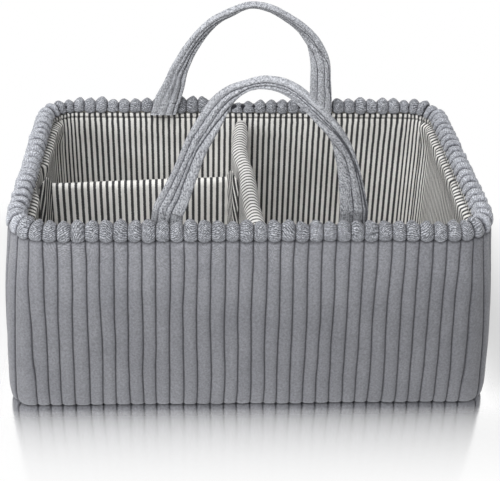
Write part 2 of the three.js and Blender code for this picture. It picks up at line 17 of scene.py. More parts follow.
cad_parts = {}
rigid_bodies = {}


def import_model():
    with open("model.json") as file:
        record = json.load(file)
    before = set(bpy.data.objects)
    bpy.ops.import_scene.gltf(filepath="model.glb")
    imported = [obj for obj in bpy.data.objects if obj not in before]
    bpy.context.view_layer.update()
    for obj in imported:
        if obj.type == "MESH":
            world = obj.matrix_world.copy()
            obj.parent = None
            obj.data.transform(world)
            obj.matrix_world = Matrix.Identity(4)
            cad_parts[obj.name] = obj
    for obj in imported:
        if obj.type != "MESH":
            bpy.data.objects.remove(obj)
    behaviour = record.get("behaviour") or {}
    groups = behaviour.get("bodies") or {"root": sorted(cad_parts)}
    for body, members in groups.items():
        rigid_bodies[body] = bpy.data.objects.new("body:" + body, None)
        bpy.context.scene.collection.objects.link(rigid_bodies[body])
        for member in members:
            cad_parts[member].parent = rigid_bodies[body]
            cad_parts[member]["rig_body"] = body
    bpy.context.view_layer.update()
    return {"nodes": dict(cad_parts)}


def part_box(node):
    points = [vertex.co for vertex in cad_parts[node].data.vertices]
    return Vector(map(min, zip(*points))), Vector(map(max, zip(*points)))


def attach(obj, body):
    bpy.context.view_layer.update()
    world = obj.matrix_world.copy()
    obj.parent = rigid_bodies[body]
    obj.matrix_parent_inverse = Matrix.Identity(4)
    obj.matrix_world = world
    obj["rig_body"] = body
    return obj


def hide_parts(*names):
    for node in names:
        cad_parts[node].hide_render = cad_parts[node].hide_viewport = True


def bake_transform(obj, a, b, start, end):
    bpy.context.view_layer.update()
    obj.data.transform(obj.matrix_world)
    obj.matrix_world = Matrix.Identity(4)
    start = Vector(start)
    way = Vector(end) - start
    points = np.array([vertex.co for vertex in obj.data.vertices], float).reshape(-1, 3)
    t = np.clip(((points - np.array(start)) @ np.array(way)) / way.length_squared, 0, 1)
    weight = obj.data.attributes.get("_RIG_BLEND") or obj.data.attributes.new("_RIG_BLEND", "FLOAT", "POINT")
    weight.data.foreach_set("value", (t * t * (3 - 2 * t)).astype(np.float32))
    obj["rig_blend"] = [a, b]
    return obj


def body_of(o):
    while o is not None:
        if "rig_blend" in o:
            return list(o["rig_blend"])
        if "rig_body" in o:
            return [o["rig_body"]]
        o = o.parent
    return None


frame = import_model()

# %% [markdown]
# ## Camera
#
# The camera was fitted to the outline of the caddy in the photograph. It stands almost straight
# in front and looks down by some 31 degrees, from 0.9 m away. A long lens keeps the box
# from spreading towards the floor.

# %% Camera
CAMERA_PLACE = Vector((-0.042162, -0.850286, 0.585842))
CAMERA_PITCH = math.radians(30.571)
CAMERA_YAW = math.radians(3.103)
CAMERA_ROLL = math.radians(1.474)
FOCAL_PIXELS = 1087.8
FRAME_PIXELS = 500
SENSOR_WIDTH = 36.0

camera_data = bpy.data.cameras.new("camera")
camera_data.sensor_width = SENSOR_WIDTH
camera_data.lens = FOCAL_PIXELS * SENSOR_WIDTH / FRAME_PIXELS
camera = bpy.data.objects.new("camera", camera_data)
bpy.context.scene.collection.objects.link(camera)
camera.matrix_world = (
    Matrix.Translation(CAMERA_PLACE)
    @ Matrix.Rotation(-CAMERA_YAW, 4, "Z")
    @ Matrix.Rotation(math.pi / 2 - CAMERA_PITCH, 4, "X")
    @ Matrix.Rotation(CAMERA_ROLL, 4, "Z")
)
bpy.context.scene.camera = camera
print("camera lens:", round(camera_data.lens, 1), "mm")

# %% [markdown]
# ## Colours and nodes
#
# Colours are written as they look on a screen, in sRGB hex, and one function turns them to
# the linear values that the renderer works in. A second one adds a node to a material, with
# its settings and its links, so that each material below reads as a list of steps. A link may
# name a node: its first output in use is then meant.


# %% Colours and nodes
def linear(hex_colour):
    channels = [int(hex_colour[i : i + 2], 16) / 255 for i in (1, 3, 5)]
    return tuple(c / 12.92 if c <= 0.04045 else ((c + 0.055) / 1.055) ** 2.4 for c in channels) + (1.0,)


def join(source, socket):
    """Feeds a socket from another one, or from a node's first output in use."""
    if isinstance(source, bpy.types.Node):
        source = next(output for output in source.outputs if output.enabled)
    socket.id_data.links.new(source, socket)


def add_node(tree, kind, settings=None, values=None, links=None, stops=None):
    """A node of a kind, with its settings, its socket values and what feeds its sockets."""
    node = tree.nodes.new("ShaderNode" + kind)
    for key, value in (settings or {}).items():
        setattr(node, key, value)
    for socket, value in (values or {}).items():
        node.inputs[socket].default_value = value
    for socket, source in (links or {}).items():
        join(source, node.inputs[socket])
    for index, (place, colour) in enumerate(stops or []):
        elements = node.color_ramp.elements
        element = elements[index] if index < 2 else elements.new(place)
        element.position = place
        element.color = linear(colour)
    return node


BLEND = {"data_type": "RGBA"}
TINT = {"data_type": "RGBA", "blend_type": "MULTIPLY"}
BLEND_VALUES = {"data_type": "FLOAT"}


def new_material(name, specular, roughness):
    """A material with one shader, its node tree, and the place of each point on the object."""
    material = bpy.data.materials.new(name)
    material.use_nodes = True
    shader = material.node_tree.nodes["Principled BSDF"]
    shader.inputs["Roughness"].default_value = roughness
    shader.inputs["Specular IOR Level"].default_value = specular
    place = add_node(material.node_tree, "TexCoord").outputs["Object"]
    return material, material.node_tree, shader, place


# %% [markdown]
# ## Plush
#
# Wide-wale plush is a knitted polyester velour: a dense pile about 2 mm long, cut in wales
# that stand up as round ribs. The pile takes light softly and never shines. Seen from its side
# it looks pale, seen into its tips dark, so a flat stretch shows a fine grey speckle, and
# where it is bent hard, as over the rim, the pile opens into swirling pale strokes. The
# grooves between the ribs lie in their own shadow, and painted shade darkens them further.
#
# Each mesh carries four values on its points. "crest" is 0 in a groove and 1 on a rib's back,
# and where it is low, painted shade darkens the cloth. "bend" is 1 where the pile is opened by a
# bend. "comb" is the length in metres along that rib's brushing direction, and the pale
# strokes of the pile stand at even steps of it, pushed about by a soft noise. "painted_light"
# says by what share the cloth is painted paler, as painted light, or below 0 darker, as painted
# shade, where more or less light falls on it. A tuft of the real pile is some 0.5 mm wide, too
# fine for the picture, so the speckle and the strokes are drawn about three times as coarse.


# %% Plush
FLOW_SIZE = 0.0030
FLOW_WARP = 3.2


def plush_material(name, colours, grain_mm, stroke_mm, grain_share, depth_mm):
    pale, dark, stroke, gap, groove = colours
    material, tree, shader, place = new_material(name, specular=0.12, roughness=0.95)
    crest, bend, comb, painted_light = [
        add_node(tree, "Attribute", {"attribute_name": key}).outputs["Fac"]
        for key in ("crest", "bend", "comb", "painted_light")
    ]
    speckle = add_node(
        tree, "TexNoise",
        values={"Scale": 1000 / grain_mm, "Detail": 2.0, "Roughness": 0.6, "Distortion": 0.3},
        links={"Vector": place},
    )
    grain = add_node(
        tree, "MapRange", values={"From Min": 0.32, "From Max": 0.68}, links={"Value": speckle},
    )
    flow = add_node(
        tree, "TexNoise", values={"Scale": 1 / FLOW_SIZE, "Detail": 2.0, "Roughness": 0.5},
        links={"Vector": place},
    )
    warp = add_node(tree, "Math", {"operation": "MULTIPLY"}, values={1: FLOW_WARP}, links={0: flow})
    rows = add_node(
        tree, "Math", {"operation": "MULTIPLY_ADD"}, values={1: 2000 / stroke_mm},
        links={0: comb, 2: warp},
    )
    strokes = add_node(tree, "Math", {"operation": "PINGPONG"}, values={1: 1.0}, links={0: rows})
    tufts = add_node(
        tree, "Mix", BLEND_VALUES, values={"Factor": grain_share}, links={"A": strokes, "B": grain},
    )
    even = add_node(tree, "ValToRGB", links={"Fac": grain}, stops=[(0.0, dark), (1.0, pale)])
    opened = add_node(
        tree, "ValToRGB", links={"Fac": tufts},
        stops=[(0.14, gap), (0.82, stroke), (0.34, dark), (0.60, pale)],
    )
    pile = add_node(tree, "Mix", BLEND, links={"Factor": bend, "A": even, "B": opened})
    # Painted shade: where crest is low the cloth is darkened towards the groove colour, in grooves, nicks,
    # seams and pleat lines.
    shade = add_node(
        tree, "ValToRGB", links={"Fac": crest},
        stops=[(0.0, groove), (1.0, "#ffffff"), (0.07, "#b9b9bb"), (0.2, "#f2f2f3")],
    )
    cloth = add_node(tree, "Mix", TINT, values={"Factor": 1.0}, links={"A": pile, "B": shade})
    drift = add_node(tree, "TexNoise", values={"Scale": 32.0, "Detail": 2.0}, links={"Vector": place})
    tone = add_node(tree, "ValToRGB", links={"Fac": drift}, stops=[(0.3, "#efeff0"), (0.7, "#ffffff")])
    toned = add_node(tree, "Mix", TINT, values={"Factor": 1.0}, links={"A": cloth, "B": tone})
    # Painted light and painted shade: the colour is made paler where the value on the points is above 0 and
    # darker where it is below 0.
    brightness = add_node(tree, "Math", {"operation": "ADD"}, values={1: 1.0}, links={0: painted_light})
    brushed_and_lit = add_node(tree, "HueSaturation", links={"Color": toned, "Value": brightness})
    join(brushed_and_lit, shader.inputs["Base Color"])
    height = add_node(tree, "Mix", BLEND_VALUES, links={"Factor": bend, "A": grain, "B": tufts})
    bump = add_node(
        tree, "Bump", values={"Strength": 1.0, "Distance": depth_mm / 1000}, links={"Height": height},
    )
    join(bump, shader.inputs["Normal"])
    shader.inputs["Sheen Weight"].default_value = 0.3
    shader.inputs["Sheen Roughness"].default_value = 0.5
    shader.inputs["Sheen Tint"].default_value = linear("#ececee")
    return material


# The last colour of each plush is the colour of its painted shade, in grooves, nicks, seams and pleat lines.
wall_plush = plush_material(
    "plush of the wall", ("#8b8c91", "#75767a", "#a0a1a6", "#646569", "#8a8a8e"), grain_mm=1.7,
    stroke_mm=1.9, grain_share=0.42, depth_mm=0.12,
)
rim_plush = plush_material(
    "plush of the rim", ("#94969c", "#75777b", "#dcdfe5", "#414347", "#5c5c62"), grain_mm=1.3,
    stroke_mm=1.8, grain_share=0.48, depth_mm=0.35,
)
strap_plush = plush_material(
    "plush of the handles", ("#bec0c5", "#8d8f94", "#d9dce1", "#5c5e62", "#5e5f64"), grain_mm=1.3,
    stroke_mm=1.7, grain_share=0.62, depth_mm=0.35,
)

# %% [markdown]
# ## Ticking
#
# The lining and the dividers are ticking: a plain woven cotton with black and white stripes
# dyed in the yarn, about 5.4 mm from one stripe to the next. Yarn-dyed stripes have slightly
# ragged edges, as wide as a thread. Each mesh carries a value named "run", the length along the
# cloth in metres, and the stripes stand at even steps of it. "crease" is 1 where a painted
# shadow darkens the fold under a sewn tuck. The threads are about 0.3 mm apart, too fine for
# the picture, so the weave is drawn at 0.8 mm. The stripes of the centre divider look narrower,
# because its cloth is stretched over the roll.

# %% Ticking
STRIPE_STEP = 0.0054
THREAD_STEP = 0.0008


def ticking_material(name, white, dark, dark_share):
    material, tree, shader, place = new_material(name, specular=0.2, roughness=0.85)
    run = add_node(tree, "Attribute", {"attribute_name": "run"}).outputs["Fac"]
    ragged = add_node(
        tree, "TexNoise", values={"Scale": 1 / THREAD_STEP, "Detail": 1.0}, links={"Vector": place},
    )
    shifted = add_node(
        tree, "Math", {"operation": "MULTIPLY_ADD"}, values={1: THREAD_STEP * 0.8},
        links={0: ragged, 2: run},
    )
    steps = add_node(tree, "Math", {"operation": "DIVIDE"}, values={1: STRIPE_STEP}, links={0: shifted})
    wave = add_node(tree, "Math", {"operation": "FRACT"}, links={0: steps})
    stripes = add_node(
        tree, "ValToRGB", links={"Fac": wave},
        stops=[(0.0, white), (dark_share + 0.05, white), (0.05, dark), (dark_share - 0.02, dark)],
    )
    wear = add_node(tree, "TexNoise", values={"Scale": 45.0, "Detail": 4.0}, links={"Vector": place})
    fade = add_node(tree, "ValToRGB", links={"Fac": wear}, stops=[(0.3, "#dcdad6"), (0.7, "#ffffff")])
    faded = add_node(tree, "Mix", TINT, values={"Factor": 0.5}, links={"A": stripes, "B": fade})
    # Painted shadow: where "crease" is 1, in the fold under the lining's tuck, the cloth turns dark grey.
    crease = add_node(tree, "Attribute", {"attribute_name": "crease"}).outputs["Fac"]
    cloth = add_node(
        tree, "Mix", BLEND, values={"B": linear("#333335")}, links={"Factor": crease, "A": faded},
    )
    join(cloth, shader.inputs["Base Color"])
    weave = add_node(
        tree, "TexVoronoi", values={"Scale": 1 / THREAD_STEP, "Randomness": 0.3}, links={"Vector": place},
    )
    bump = add_node(tree, "Bump", values={"Strength": 0.35, "Distance": 0.0003}, links={"Height": weave})
    join(bump, shader.inputs["Normal"])
    shader.inputs["Sheen Weight"].default_value = 0.1
    return material


ticking = ticking_material("ticking of the lining", "#faf9f6", "#464648", 0.47)
flap_ticking = ticking_material("ticking of the flaps", "#f4f3f0", "#3a3a3c", 0.66)
divider_ticking = ticking_material("ticking of the centre divider", "#f0efed", "#4c4b4d", 0.36)

# %% [markdown]
# ## The hidden cloths
#
# Wadding, stiffening board and hook tape hardly show, but each gets the finish of the real
# thing: fluffy white fibre, pale pressed sheet and a pale, bristly tape.


# %% The hidden cloths
def plain_cloth(name, pale, dark, grain_mm, depth_mm, roughness):
    material, tree, shader, place = new_material(name, specular=0.2, roughness=roughness)
    grain = add_node(
        tree, "TexNoise", values={"Scale": 1000 / grain_mm, "Detail": 5.0, "Roughness": 0.6},
        links={"Vector": place},
    )
    colour = add_node(tree, "ValToRGB", links={"Fac": grain}, stops=[(0.35, dark), (0.65, pale)])
    join(colour, shader.inputs["Base Color"])
    bump = add_node(tree, "Bump", values={"Distance": depth_mm / 1000}, links={"Height": grain})
    join(bump, shader.inputs["Normal"])
    return material


wadding = plain_cloth("polyester wadding", "#f6f4ef", "#dcd9d2", 4.0, 1.0, 1.0)
board = plain_cloth("stiffening sheet", "#dcd8ce", "#cbc6bb", 1.5, 0.1, 0.7)
hook_tape = plain_cloth("hook and loop tape", "#ebe9e4", "#c4c1bb", 0.9, 0.4, 0.85)
base_cloth = plain_cloth("backing cloth of the base", "#85878b", "#74767a", 0.9, 0.3, 0.95)

# %% [markdown]
# ## The wall's plan
#
# The frame gives the straight stretches of the wall, because the stiff boards end where the
# corners begin. One function turns a share of a side's length, an offset out of the wall's
# middle and a height into points. Every layer of the wall and the rim use it, so they
# stay parallel all the way round. The cover's corners are round under the rim and almost
# square on the floor.

# %% The wall's plan
CORNER_RADIUS = 0.028
FOOT_CORNER_RADIUS = 0.005
LINING_IN = -0.00525
LINING_OUT = -0.00405
COVER_BACK = 0.00225
COVER_OUT = 0.00525
RIM_OUT = 0.0085
RIM_IN = 0.0075
RIB_PITCH = {"front": 0.0107, "right": 0.0119, "back": 0.0107, "left": 0.0119}
FIT_GAP = 0.0003

half_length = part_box("front_board")[1].x + CORNER_RADIUS
half_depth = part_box("right_board")[1].y + CORNER_RADIUS
seam_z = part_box("front_rim")[0].z
rim_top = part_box("front_rim")[1].z
cover_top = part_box("front_cover")[1].z
SIDES = {
    "front": (half_length, half_depth, 0), "right": (half_depth, half_length, 1),
    "back": (half_length, half_depth, 2), "left": (half_depth, half_length, 3),
}
QUARTER_TURNS = [
    np.array([[1, 0], [0, 1]]), np.array([[0, -1], [1, 0]]), np.array([[-1, 0], [0, -1]]),
    np.array([[0, 1], [-1, 0]]),
]


def side_lengths(side, corner=CORNER_RADIUS):
    straight = 2 * (SIDES[side][0] - corner)
    bend = (corner + COVER_OUT) * math.pi / 4
    return straight, bend, straight + 2 * bend


def rib_count(side):
    return round(side_lengths(side)[2] / RIB_PITCH[side])


def corner_at(height):
    return FOOT_CORNER_RADIUS + (CORNER_RADIUS - FOOT_CORNER_RADIUS) * np.clip(height / cover_top, 0, 1)


def wall_points(side, share, offset, height, corner=CORNER_RADIUS):
    """Points of one side as an array: share runs from 0 to 1 between the corners' middles."""
    share, offset, height, corner = np.broadcast_arrays(share, offset, height, corner)
    straight, bend, whole = side_lengths(side, corner)
    away, quarter = SIDES[side][1:]
    from_middle = (share - 0.5) * whole
    past = np.maximum(np.abs(from_middle) - straight / 2, 0)
    angle = np.sign(from_middle) * past * math.pi / (4 * bend)
    radius = corner + offset
    x = np.clip(from_middle, -straight / 2, straight / 2) + radius * np.sin(angle)
    y = corner - away - radius * np.cos(angle)
    cut = np.where(share <= 0, FIT_GAP / 2, 0) - np.where(share >= 1, FIT_GAP / 2, 0)
    x = x + cut * np.cos(angle)
    y = y + cut * np.sin(angle)
    flat = np.stack([x, y], axis=-1) @ QUARTER_TURNS[quarter].T
    return np.concatenate([flat, height[..., None]], axis=-1)


print("ribs on the front and on the side:", rib_count("front"), rib_count("right"))

# %% [markdown]
# ## Mesh helpers
#
# Each cloth is a closed shell between an outer and an inner grid of points. Values that
# the materials need, such as "crest" and "run", are stored on the points. A smooth
# curve through a short table of shares gives the profiles.


# %% Mesh helpers
def add_mesh(name, points, faces, material, values=None):
    mesh = bpy.data.meshes.new(name)
    mesh.from_pydata(points.reshape(-1, 3).tolist(), [], faces)
    mesh.update()
    mesh.shade_smooth()
    mesh.materials.append(material)
    for key, array in (values or {}).items():
        attribute = mesh.attributes.new(key, "FLOAT", "POINT")
        attribute.data.foreach_set("value", np.ravel(array).astype(np.float32))
    piece = bpy.data.objects.new(name, mesh)
    bpy.context.scene.collection.objects.link(piece)
    return piece


def grid_faces(rows, columns, first, facing_out=True, closed=False):
    """Quads of a grid whose point (i, j) is number first + i * columns + j."""
    faces = []
    for i in range(rows - 1):
        for j in range(columns if closed else columns - 1):
            k = (j + 1) % columns
            quad = [first + i * columns + j, first + (i + 1) * columns + j]
            quad += [first + (i + 1) * columns + k, first + i * columns + k]
            faces.append(quad if facing_out else quad[::-1])
    return faces


def add_shell(name, outer, inner, material, values=None):
    """A closed shell between two grids with as many rows. values are (outer, inner) pairs."""
    rows, m = outer.shape[:2]
    k = inner.shape[1]
    base = rows * m
    faces = grid_faces(rows, m, 0) + grid_faces(rows, k, base, facing_out=False)
    for i in range(rows - 1):
        out_top, out_next = i * m + m - 1, (i + 1) * m + m - 1
        in_top, in_next = base + i * k + k - 1, base + (i + 1) * k + k - 1
        faces.append([out_top, out_next, in_next, in_top])
        faces.append([(i + 1) * m, i * m, base + i * k, base + (i + 1) * k])
    first = [j for j in range(m)] + [base + j for j in reversed(range(k))]
    last = [(rows - 1) * m + j for j in range(m)]
    last += [base + (rows - 1) * k + j for j in reversed(range(k))]
    faces += [first, last[::-1]]
    points = np.concatenate([outer.reshape(-1, 3), inner.reshape(-1, 3)])
    stored = {key: np.concatenate([np.ravel(a), np.ravel(b)]) for key, (a, b) in (values or {}).items()}
    return add_mesh(name, points, faces, material, stored)


def add_tube(name, rings, material, values=None):
    """A closed tube through rings of points, with a flat cap at each end."""
    rows, m = rings.shape[:2]
    faces = grid_faces(rows, m, 0, closed=True, facing_out=False)
    faces += [list(range(m)), [(rows - 1) * m + j for j in reversed(range(m))]]
    return add_mesh(name, rings, faces, material, values)


def smooth_curve(table, where):
    """A smooth curve through (place, value, ...) rows, read at the places in where."""
    table = np.array(table, float)
    x, y = table[:, 0], table[:, 1:]
    slope = np.gradient(y, x, axis=0)
    where = np.asarray(where, float)
    k = np.clip(np.searchsorted(x, where) - 1, 0, len(x) - 2)
    step = (x[k + 1] - x[k])[..., None]
    t = np.clip((where - x[k])[..., None] / step, 0, 1)
    a, b = 2 * t**3 - 3 * t**2 + 1, t**3 - 2 * t**2 + t
    return a * y[k] + b * step * slope[k] + (1 - a) * y[k + 1] + (t**3 - t**2) * step * slope[k + 1]


def smoothstep(low, high, value):
    t = np.clip((value - low) / (high - low), 0, 1)
    return t * t * (3 - 2 * t)


def ripple(points, size, seed=0):
    """Soft random values, between about -1 and 1, that change over a distance of size."""
    shift = Vector((seed * 7.3, seed * 3.1, seed * 5.7))
    flat = points.reshape(-1, 3) / size
    return np.array([noise.noise(Vector(p) + shift) for p in flat]).reshape(points.shape[:-1])


# %% [markdown]
# ## Ribs
#
# The plush is cut in wales, so each rib is a round roll with a narrow, dark groove on each
# side. No two are quite alike: their widths differ by a few per cent and the grooves
# wander, because the cloth is stretched over soft wadding. Samples lie closer together near a
# groove, where the surface turns fastest.

# %% Ribs
RIB_SAMPLES = 12
WANDER = 0.0013

across_rib = (1 - np.cos(np.linspace(0, math.pi, RIB_SAMPLES + 1))) / 2
from_groove = 1 - np.abs(2 * across_rib - 1)
rib_swell = (1 - (1 - from_groove) ** 3) ** 0.53


def rib_grid(side, heights):
    """The share of every column and row, and each column's swell, distance and rib number."""
    count = rib_count(side)
    number = SIDES[side][2]
    even = np.linspace(0, 1, count + 1)
    grooves = np.zeros((count + 1, len(heights)))
    for k in range(count + 1):
        for j, z in enumerate(heights):
            wander = noise.noise(Vector((k * 0.41, z / 0.06, number * 9.1)))
            wander += 0.6 * noise.noise(Vector((k * 1.9, z / 0.20, number * 5.3 + 4)))
            wander += 0.35 * noise.noise(Vector((k * 3.7, z / 0.025, number * 2.9 + 8)))
            loose = 0.0 if k in (0, count) else 0.35 + 0.65 * smoothstep(0, 0.02, seam_z - z)
            grooves[k, j] = even[k] + loose * wander * WANDER / side_lengths(side)[2]
    columns, swells, apart, ribs = [], [], [], []
    for k in range(count):
        stop = None if k == count - 1 else -1
        for t, swell, distance in zip(across_rib[:stop], rib_swell, from_groove):
            columns.append(grooves[k] * (1 - t) + grooves[k + 1] * t)
            swells.append(swell)
            apart.append(distance)
            ribs.append(k)
    columns = np.array(columns)
    swells, apart = (np.broadcast_to(np.array(row)[:, None], columns.shape) for row in (swells, apart))
    return columns, swells, apart, np.array(ribs)


def plush_values(inner, crest, bend, comb, painted_light):
    """The four values for the outer points of a plush shell, and 0 for its inner ones."""
    looks = {"crest": crest, "bend": np.clip(bend, 0, 1), "comb": comb, "painted_light": painted_light}
    return {key: (look, np.zeros(inner.shape[:2])) for key, look in looks.items()}


def comb_lines(side, shares, ribs, along, seed, turn, fold):
    """How far each point lies along its rib's own brushing direction, in metres."""
    whole, count = side_lengths(side)[2], rib_count(side)
    across = (shares - (ribs[:, None] + 0.5) / count) * whole
    angle = per_rib(ribs, seed, turn)[:, None]
    chevron = per_rib(ribs, seed + 2.4, fold)[:, None]
    return along * np.cos(angle) + across * np.sin(angle) + chevron * np.abs(across)


def per_rib(ribs, seed, spread):
    """A random value for each rib, the same in every run, between -spread and spread."""
    places = [Vector((rib * 5.31 + seed, seed * 2.7, 0.5)) for rib in ribs]
    return spread * np.array([noise.noise(place) * 2 for place in places])


# %% [markdown]
# ## Covers
#
# The wall swells outward low down, where the wadding settles, and each rib ends in a round
# knuckle on the floor. At the top the seam below the rim pinches every rib. The seam dips
# under each rib and rises into each groove, so it reads as a row of small scallops.

# %% Covers
BELLY = 0.008
BELLY_TABLE = [
    (0.0, 0.8), (0.045, 0.95), (0.2, 1.0), (0.4, 0.95), (0.58, 0.76), (0.75, 0.48), (0.9, 0.18),
    (1.0, 0.0),
]
RIB_DEPTH = 0.0026
GROOVE_FILL = 0.0005
SEAM_SCALLOP = 0.0019
FOOT_ROUND = 0.0045
KNUCKLE_LIFT = 0.0016
FOOT_EDGE = 0.006
TOP_EDGE = 0.012
PINCH_HEIGHT = 0.004
PINCH_DEPTH = 0.0008
DENTS = 0.0009
PILE_BUMPS = 0.00012
TOP_BEND = 0.55
TOP_PAINTED_LIGHT = 0.24
RIGHT_PAINTED_SHADE = -0.12


def seam_rise(apart, ribs, side):
    """How far the seam stands above its lowest line: it climbs in an arc into the grooves."""
    arc = np.sin(apart * math.pi / 2) ** 0.75
    uneven = per_rib(ribs, 3.3 + SIDES[side][2], 0.0007)[:, None]
    return SEAM_SCALLOP * (1 - arc) + uneven * arc


def cover_piece(side):
    number = SIDES[side][2]
    heights = np.concatenate([
        np.linspace(0, FOOT_EDGE, 9)[:-1],
        np.linspace(FOOT_EDGE, cover_top - TOP_EDGE, 36)[:-1],
        np.linspace(cover_top - TOP_EDGE, cover_top, 13),
    ])
    shares, swell, apart, ribs = rib_grid(side, heights)
    z = np.broadcast_to(heights, shares.shape)
    rough = wall_points(side, shares, 0.0, z, corner_at(z))
    belly = BELLY * smooth_curve(BELLY_TABLE, z / cover_top)[..., 0]
    pinch = smoothstep(0.0, PINCH_HEIGHT, cover_top - z)
    fullness = 1 + per_rib(ribs, 1.7, 0.08)[:, None] + 0.08 * ripple(rough * [1, 1, 0.3], 0.015, seed=2)
    offset = COVER_OUT + belly + RIB_DEPTH * swell * np.minimum(fullness, 1.06) * (0.45 + 0.55 * pinch)
    offset = offset + GROOVE_FILL * (1 - swell) * pinch - PINCH_DEPTH * (1 - pinch)
    offset = offset + DENTS * pinch * ripple(rough * [1, 1, 0.7], 0.050, seed=5)
    offset = offset + PILE_BUMPS * ripple(rough, 0.0024, seed=1)
    below = np.clip(1 - z / FOOT_ROUND, 0, 1)
    tuck = 1 - np.sqrt(1 - below**2)
    offset = offset - (0.0018 + 0.0024 * swell) * tuck
    lift = seam_rise(apart, ribs, side) * smoothstep(cover_top - TOP_EDGE, cover_top, z)
    lift = lift + KNUCKLE_LIFT * (1 - swell) * below
    outer = wall_points(side, shares, offset, z + lift, corner_at(z))
    inner_z = np.array([0.0, 0.045, 0.4, 0.75, 1.0]) * cover_top
    inner_belly = BELLY * np.array([0.76, 0.86, 0.88, 0.4, 0.0])
    inner = wall_points(side, shares[:, :1], COVER_BACK + inner_belly, inner_z, corner_at(inner_z))
    # Painted shade: crest is lowered below the seam, where the rim pinches the ribs, and at the foot, where
    # the knuckles tuck under.
    crest = apart * (0.25 + 0.75 * pinch) * (1 - 0.5 * tuck)
    bend = TOP_BEND * smoothstep(0.040, 0.0, cover_top - z) * (0.5 + ripple(rough, 0.02, seed=7))
    comb = comb_lines(side, shares, ribs, z, seed=4.7 + number, turn=1.3, fold=1.6)
    # Painted light: the upper wall is made paler. Painted shade: the right half of the front is made darker.
    # A small random change of tone is added.
    painted_light = TOP_PAINTED_LIGHT * smoothstep(0.5, 1.0, z / cover_top) + 0.04 * ripple(rough, 0.09, seed=9)
    if side == "front":
        painted_light = painted_light + RIGHT_PAINTED_SHADE * smoothstep(0.0, half_length, outer[..., 0])
    values = plush_values(inner, crest, bend, comb, painted_light)
    piece = add_shell(f"{side}_cover_cloth", outer, inner, wall_plush, values)
    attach(piece, "caddy")
    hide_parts(f"{side}_cover")
    return piece


for side in SIDES:
    cover = cover_piece(side)
    print(cover.name, len(cover.data.polygons), "faces")

# %% [markdown]
# ## Rim
#
# The rim is the same plush folded over the wall's top. The ribs run over it, and the fold
# gathers each one into a fat knuckle between two deep, open nicks, with its peak a little off
# its middle. The knuckles bulge over the seam below them, outside and inside, like a row of
# petals, and painted shade darkens the nicks and the seam under them. The inner seam is a
# little higher than the outer one. The back rim sags between the feet of its handle. The side
# rims, the ends of the back rim and the corners of the front rim are painted paler, as painted
# light where more light falls on them. The side rims are smoother, with a soft line of painted
# shade in each nick.

# %% Rim
RIM_TABLE = [
    (0.0, 0.7, 0.0), (0.05, 0.9, 0.03), (0.13, 1.0, 0.2), (0.24, 0.97, 0.52), (0.35, 0.76, 0.83),
    (0.46, 0.24, 1.0), (0.54, -0.24, 1.0), (0.65, -0.76, 0.83), (0.76, -0.97, 0.52), (0.87, -1.0, 0.2),
    (0.95, -0.92, 0.03), (1.0, -0.78, 0.0),
]
RIM_NICK = {"front": 0.0036, "right": 0.0044, "back": 0.0036, "left": 0.0044}
UNEVEN = {"front": 1.0, "right": 0.35, "back": 1.0, "left": 0.35}
RIM_SAG = 0.0014
CRINKLE = 0.00042
FINE_CRINKLE = 0.00026
SIDE_RIM_PAINTED_LIGHT = 0.95
SIDE_BEND = 0.4
BACK_RIM_ENDS_PAINTED_LIGHT = 0.28
RIM_GIRTH = 0.045
INNER_LIFT = 0.0025
BACK_CREST = [
    (-0.2, 0.0005), (-0.1, 0.001), (-0.056, 0.002), (-0.032, 0.001), (-0.012, -0.0032), (0.004, -0.003),
    (0.02, -0.001), (0.034, 0.0), (0.09, 0.0014), (0.2, 0.0005),
]
CHANNEL_HEIGHT = 0.0092
RIM_CHANNEL = [
    (COVER_BACK, 0.0), (COVER_BACK, CHANNEL_HEIGHT), (LINING_OUT, CHANNEL_HEIGHT), (LINING_OUT, 0.0),
]


